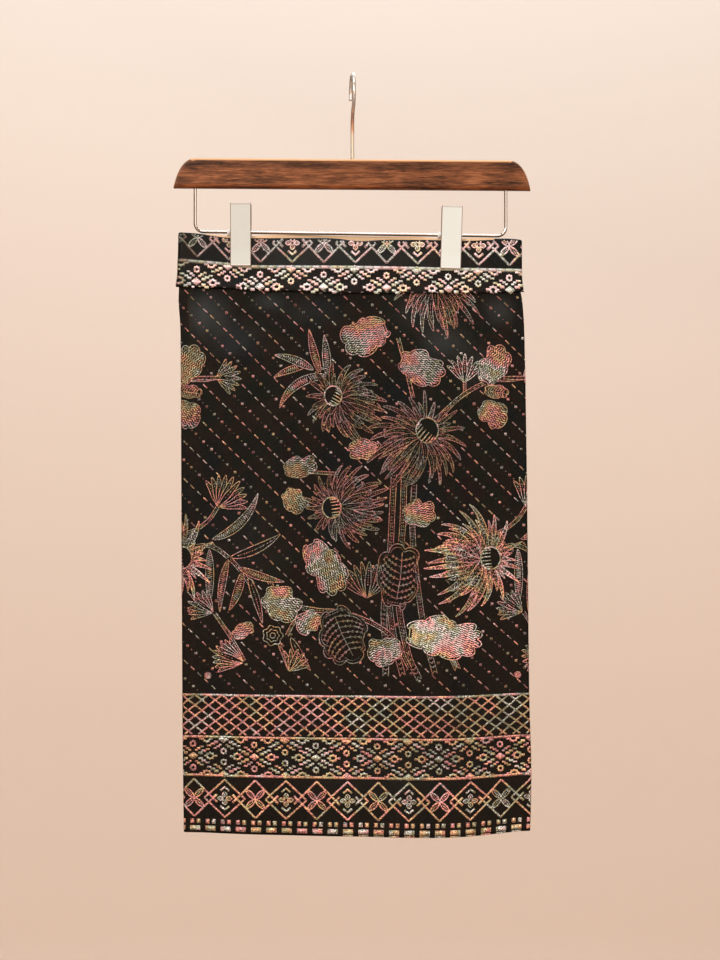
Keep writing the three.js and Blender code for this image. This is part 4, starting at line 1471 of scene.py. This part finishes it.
# %% A place on the waistband
LINE = {
    "at": [-175, -127, -112, -60, -2, 60, 120, 170, 180],
    "z": [-184.8, -188.9, -190.9, -191.6, -192.1, -192.9, -194.0, -194.9, -195.0],
}


def line_height(u):
    """The height of the line that crosses the waistband, u millimetres round."""
    return along(LINE, "z", across(u)[0] - 2.9)


def on_band_row(u, r, out):
    """The point at u round and r millimetres above the waistband's line."""
    return on_band(u, line_height(u) + r, out)


def on_band_face(strokes):
    """Strokes cut off near the waistband's upper and lower folds."""
    kept = []
    for one in strokes:
        u, r = one[0].T
        z = line_height(u) + r
        top, low = band_edges(u)
        kept += kept_runs(one, (z < top - 1.0) & (z > low - 0.2))
    return kept


def broader(strokes, times):
    """Strokes that are so many times as wide."""
    return [(p, w * times, t, b) for p, w, t, b in strokes]


print("the line at the left, middle and right:", line_height(np.array([-160, 0, 160])).round(1))

# %% The waistband's line and rows
BAND_STEP = 63.5  # from one medallion to the next
line_strokes = []
for start in np.arange(FIRST_U, LAST_U - 9, 9.0):
    hue = 0.62 + 0.22 * math.sin(start * 0.021 + 0.7) + 0.06 * math.sin(start * 0.13)
    # painted light: the line brightens from the left fold towards the right
    glow = 0.66 + 0.30 * ramp(-150, 40, across(start)[0])
    line_strokes.append(stroke([(start, 0.1), (start + 9.2, 0.1)], 3.4, hue, glow, 4))


def band_shift(u):
    """The strip is stretched a little at the middle of the front."""
    return u + 1.8 * math.sin(math.pi * (u + 91.2) / 254)


band_strokes = []
for k in range(-6, 11):
    full = band_shift(-27.7 + BAND_STEP * k)  # the middle of a medallion that shows whole
    cut = band_shift(-59.5 + BAND_STEP * k) - 0.8  # and of one that the line cuts in half
    for here, r in ((full, -19.7), (cut, -1.8)):
        hung = broader(moved(medallion(0.88, 1.30), (here, r)), 1.12)
        band_strokes += trimmed(hung, FIRST_U, LAST_U, -60, -1.0)
    # painted light: the upper rows brighten from left to right
    glow = 0.72 + 0.58 * ramp(-150, 120, across(full)[0])
    above = [*diamond(0.88, 0.66 * glow), *quatrefoil(0.84, 0.98 * glow)]
    beside = [*crossing_diamond(0.88, 0.66 * glow), *crossed_petals(0.74, 0.86 * glow)]
    upper_row = broader(moved(above, (cut + 0.8, 24.0)) + moved(beside, (full, 24.0)), 1.22)
    band_strokes += trimmed(upper_row, FIRST_U, LAST_U, 2, 60)
for u in np.arange(FIRST_U, LAST_U, 12.7):
    r = band_edges(u)[1] + 0.9 - line_height(u)
    hue, glow = 0.98 + 0.1 * math.sin(u), 0.45 + 0.2 * math.sin(u * 0.31)
    band_strokes.append(stroke([(u, r), (u + 2.8, r)], 1.1, hue, glow, 9))
WOVEN = {"line": (line_strokes, LINE_THREAD), "thread": (band_strokes, BAND_THREAD)}
for kind, (strokes, finish) in WOVEN.items():
    strokes = [painted_fold_shade(one, 0.6) for one in on_band_face(strokes)]
    front_part = [one for one in strokes if on_front(one)]
    back_part = [one for one in strokes if not on_front(one)]
    lay(f"waistband_front_{kind}", front_part, on_band_row, finish)
    lay(f"waistband_back_{kind}", back_part, on_band_row, finish)

# %% [markdown]
# ## The wooden bar
# The hanger's bar is a plain board of walnut with rounded edges and curved ends. Its outline is
# flat below, and each end follows a curve up to the top. The face is a smaller outline inside it,
# and a quarter circle of rings leads from the one out to the other. A dark band below the upper
# edge and a darker bottom edge are painted shade, and the lighter orange upper edge is a painted
# highlight.


# %% Walnut
BAR_LENGTH = 356.6
BAR_HEIGHT = 29.7
BAR_FOOT = -113.5  # the height of its flat bottom


def walnut_finish(name):
    """Streaks and pores along the bar, times painted shade by height; the upper edge gets a painted
    highlight.
    """
    finish = Finish(name)
    smoke = finish.noise(finish.place((0.026, 0.1, 0.15)), 1.0, 3.0, 0.6)
    streak = finish.noise(finish.place((0.042, 0.2, 0.85)), 1.0, 5.0, 0.75)
    pore = finish.noise(finish.place((0.10, 0.6, 1.9)), 1.0, 4.0, 0.75)
    grain = smoke * 0.44 + streak * 0.60 + pore * 0.48
    colour = finish.colours(grain, [
        (0.61, (0.026, 0.011, 0.006)),
        (0.67, (0.078, 0.028, 0.011)),
        (0.75, (0.160, 0.055, 0.020)),
        (0.82, (0.275, 0.100, 0.040)),
        (0.90, (0.400, 0.160, 0.068)),
    ])
    height = (finish.toward((0.0073, 0, 1)) - BAR_FOOT) / BAR_HEIGHT
    # painted shade: darker at the bottom edge and in a band below the top
    bands = finish.colours(height, [
        (0.00, (0.72, 0.50, 0.26)),
        (0.09, (0.88, 0.68, 0.44)),
        (0.16, (1.00, 1.00, 1.00)),
        (0.62, (1.00, 0.97, 0.93)),
        (0.80, (0.56, 0.56, 0.58)),
        (0.90, (0.78, 0.78, 0.78)),
        (1.00, (1.00, 1.00, 1.00)),
    ])
    colour = finish.mix(1.0, colour, bands, "MULTIPLY")
    # painted highlight: the upper edge turns lighter orange
    colour = finish.mix(finish.read("painted_lighting"), colour, (1.0, 0.56, 0.27, 1))
    return finish.done(
        Base_Color=colour,
        Roughness=pore * 0.2 + 0.36,
        Specular_IOR_Level=0.24,
        Coat_Weight=0.06,
        Coat_Roughness=0.3,
        Normal=finish.bump(pore, 0.0001, 0.3),
    )


WALNUT = walnut_finish("walnut")
print("finish:", WALNUT.name, "with", len(WALNUT.node_tree.nodes), "nodes")


# %% The bar's shape
def about_y(lean):
    """The matrix that leans rows of x, y and z about Y by degrees."""
    c, s = math.cos(math.radians(lean)), math.sin(math.radians(lean))
    return np.array([[c, 0, -s], [0, 1, 0], [s, 0, c]])


BOTTOM_POINTS, END_POINTS, TOP_POINTS = 59, 22, 54
ROUNDING = 2.5
HALF_DEPTH = 6.5


def bezier(a, b, c, d, count):
    """Points on the curve pulled from a towards b and c and ending at d."""
    t = np.linspace(0, 1, count)[:, None]
    a, b, c, d = (np.array(p, float) for p in (a, b, c, d))
    return a * (1 - t) ** 3 + 3 * b * t * (1 - t) ** 2 + 3 * c * t * t * (1 - t) + d * t**3


def bar_outline(half_length, high):
    """Up round the right end, along the top, and down round the left end, on a flat bottom."""
    pulls = [(half_length, 0), (half_length - 3.2, 0.53 * high), (half_length - 9, 0.94 * high)]
    right = bezier(*pulls, (half_length - 20, high), END_POINTS)
    left = (right * [-1, 1])[::-1]
    bottom = np.linspace((-half_length, 0), (half_length, 0), BOTTOM_POINTS + 1)[:-1]
    top = np.linspace((half_length - 20, high), (20 - half_length, high), TOP_POINTS + 2)[1:-1]
    return np.concatenate([bottom, right, top, left[:-1]])


full_outline = bar_outline(BAR_LENGTH / 2, BAR_HEIGHT)
face_outline = bar_outline(BAR_LENGTH / 2 - 1.3 * ROUNDING, BAR_HEIGHT - 2 * ROUNDING)
face_outline = face_outline + [0, ROUNDING]
turned = np.linspace(0, math.pi / 2, 8)
share = np.concatenate([[-0.3], np.sin(turned), [1.0]])  # of the way from the face out to the edge
depth = np.concatenate([[HALF_DEPTH], HALF_DEPTH - ROUNDING * (1 - np.cos(turned)), [3.0]])
edge_highlight = np.concatenate([[0], np.sin(turned) ** 0.5, [0.06]])  # the top itself keeps its stain
share, edge_highlight = (np.concatenate([k, k[::-1]])[:, None] for k in (share, edge_highlight))
depth = np.concatenate([-depth, depth[::-1]])[:, None]
rings = face_outline + (full_outline - face_outline) * share[..., None]
bar = np.stack([rings[..., 0], depth + 0 * rings[..., 0], rings[..., 1]], -1)
count = len(full_outline)
bar_faces = [*grid(20, count, False, True), *end_caps(20, count)]
bar_points = (bar @ about_y(0.42) + [-0.4, 0, BAR_FOOT]) * MM
wood_bar = piece("walnut_bar", bar_points, bar_faces, WALNUT)
point = np.arange(count)
above_bottom = point > BOTTOM_POINTS
top_starts = BOTTOM_POINTS + END_POINTS - 3  # the last points of each end lie on the top too
on_top = (point > top_starts) & (point < top_starts + TOP_POINTS + 6)
# painted highlight along the upper edge, and a little round the curved ends
mark(wood_bar, "painted_lighting", np.where(on_top, edge_highlight, above_bottom * edge_highlight**9 * 0.55))
outward_faces(wood_bar)
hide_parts("wood_bar")

# %% [markdown]
# ## Wire
# The hook is polished steel rod with a rosy plating, and the wire below the bar is plain. A rod is
# a circle carried along a path: two directions square to the path place the circle at each point.


# %% Wire finishes
def metal_finish(name, stops, roughness, metallic=1.0):
    """The colour by height above 100 mm down, painted light on the hook; `shade` is painted shade; a
    fine noise wears it.
    """
    finish = Finish(name)
    fine = finish.noise(finish.place((0.6, 0.6, 0.6)), 1.0, 3.0)
    tint = finish.colours((finish.toward((0, 0, 1)) + 100) / 100, stops)
    tint = finish.mix(fine * 0.2, tint, (0.70, 0.62, 0.54, 1))
    tint = finish.mix(finish.read("shade"), tint, (0.075, 0.055, 0.045, 1))
    return finish.done(Base_Color=tint, Metallic=metallic, Roughness=fine * 0.06 + roughness)


# painted highlight and reflection: near white on the loop, copper at the bend, over the rosy plating's
# own colour
ROSY_STOPS = [
    (0.30, (0.90, 0.80, 0.64)),
    (0.41, (0.88, 0.70, 0.52)),
    (0.46, (0.66, 0.32, 0.17)),
    (0.54, (0.68, 0.34, 0.20)),
    (0.62, (0.86, 0.60, 0.52)),
    (0.72, (1.00, 0.93, 0.86)),
    (1.00, (1.00, 0.93, 0.86)),
]
BRIGHT = metal_finish("bright_wire", [(0.0, (0.90, 0.85, 0.79)), (1.0, (0.90, 0.85, 0.79))], 0.09)
ROSY = metal_finish("rosy_plating", ROSY_STOPS, 0.10, 0.62)
print("finishes:", BRIGHT.name, ROSY.name)


# %% Rods
def rod(path, radius, sides=20):
    """A circle of the given radius carried along a path that stays in one plane, capped."""
    path = np.asarray(path, float)
    way = np.gradient(path, axis=0)
    way /= np.linalg.norm(way, axis=1)[:, None]
    flat_normal = np.cross(path[len(path) // 2] - path[0], path[-1] - path[0])
    across_path = flat_normal / np.linalg.norm(flat_normal) + 0 * path
    up = np.cross(way, across_path)
    t = np.linspace(0, 2 * math.pi, sides, endpoint=False)[None, :, None]
    points = path[:, None] + radius * (np.cos(t) * up[:, None] + np.sin(t) * across_path[:, None])
    return points, [*grid(len(path), sides, False, True), *end_caps(len(path), sides)]


def turn_points(centre, radius, start, end, count, first, second):
    """Points on an arc, from one angle in degrees to another, in the plane of two directions."""
    a = np.radians(np.linspace(start, end, count))[:, None]
    first, second = np.array(first), np.array(second)
    return np.array(centre, float) + radius * (np.cos(a) * first + np.sin(a) * second)


print("a quarter turn:", turn_points((0, 0, 0), 1, 0, 90, 3, (1, 0, 0), (0, 0, 1)).round(2).tolist())

# %% The hook
X, Y, Z = (1, 0, 0), (0, 1, 0), (0, 0, 1)
HOOK_RADIUS = 1.8
BORE = 17  # the hook's inner radius; the origin is the highest point of its inside
reach = BORE + HOOK_RADIUS
# the lower bend's radius: it ends straight below the middle
under = reach * math.cos(math.radians(60)) / (1 - math.cos(math.radians(60)))
bend_height = -BORE - (reach + under) * math.sin(math.radians(60))
over = turn_points((0, 0, -BORE), reach, -15.5, 240, 60, Y, Z)
back = turn_points((0, -under, bend_height), under, 60, 0, 22, Y, Z)
shank = np.linspace(back[-1], (0, 0, -95.5), 12)[1:]
hook_path = np.concatenate([over, back[1:], shank])
hook_path[:, :2] = spun(hook_path[:, :2], math.radians(5.3))
hook_points, hook_faces = rod(hook_path, HOOK_RADIUS)
hook = piece("hook_wire", hook_points * MM, hook_faces, ROSY)
outward_faces(hook)
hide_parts("hook")

# %% The wire that the clips ride on
WIRE_RADIUS = 1.55
left_x, right_x, left_z, right_z, corner = -157.2, 153.3, -155.8, -160.0, 8.5
wire_path = np.concatenate([
    np.linspace((left_x, 0, -102.1), (left_x, 0, left_z + corner), 10)[:-1],
    turn_points((left_x + corner, 0, left_z + corner), corner, 180, 270, 12, X, Z),
    np.linspace((left_x + corner, 0, left_z), (right_x - corner, 0, right_z), 40)[1:-1],
    turn_points((right_x - corner, 0, right_z + corner), corner, 270, 360, 12, X, Z),
    np.linspace((right_x, 0, right_z + corner), (right_x, 0, -102.1), 10)[1:],
])
wire_points, wire_faces = rod(wire_path, WIRE_RADIUS)
bar_wire = piece("clip_wire", wire_points * MM, wire_faces, BRIGHT)
underside = (wire_path[:, None, 2] - wire_points[..., 2]) / WIRE_RADIUS
mark(bar_wire, "shade", ramp(0.10, 0.60, underside) * 0.9)
outward_faces(bar_wire)
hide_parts("bar_wire")


def wire_height(x):
    """The height of the wire's middle, which drops evenly from left to right."""
    return left_z + (right_z - left_z) * (x - left_x) / (right_x - left_x)


# %% [markdown]
# ## The clips
# Each clip is two bent plates of satin metal that a spring closes on the cloth. Each plate has
# two ears behind it, and the wire passes through all four and through the spring between them.
# A plate is its side view, a bent strip, carried across its width; a small bevel rounds its edges
# so that they catch a line of light.

# %% Brushed nickel
def plate_finish(name):
    """Pale brushed nickel; `pale`, `line` and `lip` are painted light, painted shade and painted
    highlight.
    """
    finish = Finish(name)
    brushed = finish.noise(finish.place((0.25, 0.3, 1.6)), 1.0, 3.0)
    tint = finish.mix(finish.read("pale"), (0.75, 0.825, 0.805, 1), (0.89, 1.0, 1.0, 1))
    tint = finish.mix(brushed * 0.16, tint, (0.62, 0.62, 0.58, 1))
    tint = finish.mix(finish.read("lip"), tint, (1.0, 1.0, 1.0, 1))
    tint = finish.mix(finish.read("line"), tint, (0.19, 0.065, 0.03, 1))
    return finish.done(Base_Color=tint, Metallic=0.15, Roughness=brushed * 0.1 + 0.26)


SATIN_METAL = plate_finish("satin_metal")
print("finish:", SATIN_METAL.name)

# %% A bent plate with ears
GRIP = 4.6  # where the plates meet the waistband
PLATE_WIDTH, PLATE_THICK = 20.6, 1.6
EAR_THICK = 1.2


def unit(step):
    """A step in the same direction, one long."""
    return step / np.hypot(*step)


def smooth_corner(points, count=7, cut=3.0):
    """Replaces a bent line's inner corners by curves that start `cut` millimetres before them."""
    points = np.asarray(points, float)
    out = [points[:1]]
    for a, b, c in zip(points[:-2], points[1:-1], points[2:]):
        back_way, on_way = unit(a - b) * cut, unit(c - b) * cut
        out.append(bezier(b + back_way, b + back_way / 2, b + on_way / 2, b + on_way, count))
    out.append(points[-1:])
    return np.concatenate(out)


def plate():
    """The bent plate: its outer side from the top down, back up its inner side, across its width."""
    outside = GRIP + PLATE_THICK
    line = smooth_corner([(10.0, 28.6), (7.6, 0.0), (outside, -19.8), (outside, -33.8)])
    steps = np.array([[0.0], [1.0], [2.0]])
    upper_end = line[0] + unit(line[1] - line[0]) * steps
    lower_end = line[-1] + unit(line[-2] - line[-1]) * steps
    line = np.concatenate([upper_end, line[1:-1], lower_end[::-1]])
    inner_side = both_sides(line, -2 * PLATE_THICK)[0]
    loop = np.concatenate([line, inner_side[::-1]])
    stations = np.array([-1, -0.95, -0.93, 0.93, 0.95, 1])[:, None] * PLATE_WIDTH / 2
    out, z = loop.T
    points = np.stack([stations + 0 * out, 0 * stations - out, 0 * stations + z], -1)
    count = len(loop)
    j = np.arange(len(line) - 1)
    end_cap = np.stack([j, j + 1, count - 2 - j, count - 1 - j], -1)
    caps = [*end_cap.tolist(), *(end_cap + 5 * count).tolist()]
    return points.reshape(-1, 3), [*grid(6, count, False, True), *caps]


def ear(x):
    """A small plate with a round hole for the wire: its rim and its hole, joined by flat rings."""
    t = np.linspace(0, 2 * math.pi, 24, endpoint=False)
    circle = np.stack([np.cos(t), np.sin(t)], -1)
    hole, rim = circle * 1.9, circle * 3.0
    rim = np.where(rim[:, 1:] > 0, rim * [1.6, 2.2], rim)
    rim[:, 0] -= 1.6 * np.maximum(np.cos(t), 0)
    loop = [(rim, x), (rim, x + EAR_THICK), (hole, x + EAR_THICK), (hole, x)]
    points = np.stack([np.stack([np.full(24, at), yz[:, 0], yz[:, 1]], -1) for yz, at in loop])
    return points.reshape(-1, 3), [*grid(4, 24, True, True)]


print("points of a plate and of an ear:", len(plate()[0]), len(ear(0)[0]))


# %% The four jaws
def joined(parts):
    """Several point-and-face pairs as one."""
    points, faces, total = [], [], 0
    for p, f in parts:
        points.append(p)
        faces += [[k + total for k in row] for row in np.asarray(f, object).tolist()]
        total += len(p)
    return np.concatenate(points), faces


def leaned(points, lean, x):
    """Turned about Y by degrees and carried to a clip's place on the wire, in metres."""
    return (points @ about_y(lean) + [x, 0, wire_height(x)]) * MM


def bevelled(made, width):
    """Rounds the sharp edges, those over 50 degrees, by so many millimetres."""
    edge_round = made.modifiers.new("edge", "BEVEL")
    edge_round.width = width * MM
    edge_round.segments = 3
    edge_round.limit_method = "ANGLE"
    edge_round.angle_limit = math.radians(50)
    made.modifiers.new("even", "WEIGHTED_NORMAL")


for side, row in CLIPS.items():
    for which, inset in (("front", 0.2), ("back", 1.7)):
        plate_points, plate_faces = plate()
        ears = [ear(-PLATE_WIDTH / 2 + inset), ear(PLATE_WIDTH / 2 - inset - EAR_THICK)]
        points, faces = joined([(plate_points, plate_faces), *ears])
        if which == "back":
            points = points * [-1, -1, 1]
        name = f"clip_{side}_{which}_jaw"
        placed = leaned(points, row["lean"], row["x"])
        jaw = piece(name + "_plate", placed, faces, SATIN_METAL)
        tall = plate_points[:, 2]
        # painted shade: dark lines down both sides of each plate
        sides_line = np.repeat([1, 1, 0, 0, 1, 1], len(tall) // 6) * 0.85
        # painted shade under the top end's highlight, and a painted shadow at the lower end
        ends_line = ((tall > 27.3) & (tall < 28.1)) * 0.45 + (tall < -33.5) * 0.9
        # painted highlight at the top end and just above the lower end
        lips = (tall > 28.2) | ((tall < -32.5) & (tall > -33.3))
        on_ears = np.zeros(len(points) - len(tall))
        mark(jaw, "line", np.concatenate([np.maximum(sides_line, ends_line), on_ears]))
        mark(jaw, "lip", np.concatenate([lips, on_ears]))
        # painted light: the right clip's plates are whiter
        mark(jaw, "pale", np.full(len(points), float(side == "right")))
        outward_faces(jaw)
        bevelled(jaw, 0.5)
        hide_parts(name)

# %% [markdown]
# ## Stops and springs
# A white plastic ring on the wire keeps each clip from sliding, and a coil spring lies round the
# wire between the ears. The ring is a rounded section spun about the wire; the spring is a fine
# rod whose path is a helix.


# %% Plastic
def plastic_finish(name):
    """White with faint specks."""
    finish = Finish(name)
    speck = finish.noise(finish.place((0.7, 0.7, 0.7)), 1.0, 3.0)
    colour = finish.colours(speck, [(0.3, (0.96, 0.96, 0.94)), (0.7, (1.0, 1.0, 0.99))])
    return finish.done(Base_Color=colour, Roughness=speck * 0.1 + 0.38)


WHITE = plastic_finish("white_plastic")
print("finish:", WHITE.name)


# %% Rings and coils
def stop_ring(sides=20):
    """A round section, spun about the wire at the clip's left."""
    t = np.linspace(0, 2 * math.pi, sides, endpoint=False)
    wall = np.array([(0, 1.9), (0, 3.0), (0.4, 3.4), (2.6, 3.4), (3.0, 3.0), (3.0, 1.9)])
    x, r = wall[:, :1] - 13.6, wall[:, 1:]
    points = np.stack([x + 0 * t, r * np.cos(t), r * np.sin(t)], -1)
    return points.reshape(-1, 3), grid(len(wall), sides, True, True)


def coil(turns=7, count=140, sides=8):
    """A fine rod along a helix: its section stands on the spoke from the wire and square to it."""
    a = np.linspace(0, 2 * math.pi * turns, count)
    helix = np.stack([np.linspace(-4.2, 4.2, count), 2.35 * np.cos(a), 2.35 * np.sin(a)], -1)
    way = np.gradient(helix, axis=0)
    way /= np.linalg.norm(way, axis=1)[:, None]
    spoke = np.stack([0 * a, np.cos(a), np.sin(a)], -1)
    third = np.cross(way, spoke)
    b = np.linspace(0, 2 * math.pi, sides, endpoint=False)[None, :, None]
    points = helix[:, None] + 0.45 * (np.cos(b) * spoke[:, None] + np.sin(b) * third[:, None])
    return points.reshape(-1, 3), [*grid(count, sides, False, True), *end_caps(count, sides)]


slope = math.degrees(math.atan2(left_z - right_z, right_x - left_x))
for side, row in CLIPS.items():
    points, faces = stop_ring()
    placed = leaned(points, slope, row["x"])
    stop = piece(f"clip_{side}_stop_ring", placed, faces, WHITE)
    outward_faces(stop)
    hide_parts(f"clip_{side}_stop")
    points, faces = coil()
    placed = leaned(points, slope, row["x"])
    spring = piece(f"clip_{side}_spring_coil", placed, faces, BRIGHT)
    outward_faces(spring)
    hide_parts(f"clip_{side}_spring")

# %% [markdown]
# ## Light and backdrop
# The room is a plain pale cove, round, so that no wall comes between a camera and the cloth, and
# open above. The light is soft: a large panel high on the left, a weaker one on the right, a small
# one above, one behind, and one for the wall. Bright wire needs something dark to reflect, or it
# looks like plastic, so black cards stand below it and at both sides, where only reflections see
# them.


# %% Backdrop
def backdrop_finish(name):
    """Pale matt paint."""
    finish = Finish(name)
    return finish.done(Base_Color=(0.790, 0.640, 0.528, 1), Roughness=0.9, Specular_IOR_Level=0.1)


bend_angle = np.linspace(0, math.pi / 2, 14)
profile = np.concatenate([
    np.stack([np.linspace(0.02, 2.6, 12), np.full(12, -2.0)], -1),
    np.stack([2.6 + 0.6 * np.sin(bend_angle), -1.4 - 0.6 * np.cos(bend_angle)], -1)[1:],
    np.stack([np.full(12, 3.2), np.linspace(-1.4, 2.6, 12)], -1)[1:],
])
round_it = np.linspace(0, 2 * math.pi, 72, endpoint=False)
cove = np.stack([
    profile[:, None, 0] * np.cos(round_it), profile[:, None, 0] * np.sin(round_it),
    profile[:, None, 1] + 0 * round_it,
], -1)
mesh = bpy.data.meshes.new("cove")
mesh.from_pydata(cove.reshape(-1, 3).tolist(), [], grid(len(profile), 72, False, True).tolist())
mesh.polygons.foreach_set("use_smooth", [True] * len(mesh.polygons))
mesh.materials.append(backdrop_finish("pale_paint"))
backdrop = bpy.data.objects.new("cove", mesh)
bpy.context.collection.objects.link(backdrop)
print("cove:", len(mesh.polygons), "faces")


# %% Lights
def panel(name, place, target, size, power, colour):
    """A square of soft light at a place, facing a target, that isn't itself seen."""
    light = bpy.data.lights.new(name, "AREA")
    light.shape, light.size, light.energy, light.color = "SQUARE", size, power, colour
    lamp = bpy.data.objects.new(name, light)
    lamp.location = place
    to_target = np.array(target, float) - place
    across_floor = math.hypot(to_target[0], to_target[1])
    turn = math.atan2(to_target[1], to_target[0]) - math.pi / 2
    lamp.rotation_euler = (math.atan2(across_floor, -to_target[2]), 0, turn)
    lamp.visible_camera = False
    bpy.context.collection.objects.link(lamp)


panel("key", (-1.3, -2.4, 1.0), (0, 0, -0.35), 1.4, 39.5, (1.0, 0.98, 0.95))
panel("fill", (1.8, -2.0, 0.3), (0, 0, -0.4), 1.6, 16, (1.0, 0.97, 0.94))
panel("top", (0.0, -0.5, 1.5), (0, 0, -0.2), 0.9, 12, (1.0, 0.98, 0.95))
panel("wall", (0.0, 1.3, 2.4), (0, 3.2, 0.9), 1.4, 82, (0.62, 0.83, 1.0))
panel("rear", (0.9, 2.2, 1.2), (0, 0, -0.4), 1.4, 22, (1.0, 0.97, 0.94))
CARDS = {  # four corners of each
    "card_below": [(-0.9, -1.4, -1.0), (0.9, -1.4, -1.0), (0.9, 2.4, -1.0), (-0.9, 2.4, -1.0)],
    "card_left": [(-1.3, -1.0, -1.1), (-0.45, 1.3, -1.1), (-0.45, 1.3, 0.7), (-1.3, -1.0, 0.7)],
    "card_right": [(1.3, -1.0, -1.1), (0.45, 1.3, -1.1), (0.45, 1.3, 0.7), (1.3, -1.0, 0.7)],
}
black_paint = Finish("black_paint").done(Base_Color=(0.01, 0.01, 0.01, 1), Roughness=0.9)
for name, corners in CARDS.items():
    card_mesh = bpy.data.meshes.new(name)
    card_mesh.from_pydata(corners, [], [(0, 1, 2, 3)])
    card_mesh.materials.append(black_paint)
    card = bpy.data.objects.new(name, card_mesh)
    card.visible_camera, card.visible_shadow, card.visible_diffuse = False, False, False
    bpy.context.collection.objects.link(card)
world = bpy.data.worlds.new("pale_room")
bpy.context.scene.world = world
world.use_nodes = True
world.node_tree.nodes["Background"].inputs["Color"].default_value = (1.0, 0.93, 0.87, 1)
world.node_tree.nodes["Background"].inputs["Strength"].default_value = 0.25

# %% [markdown]
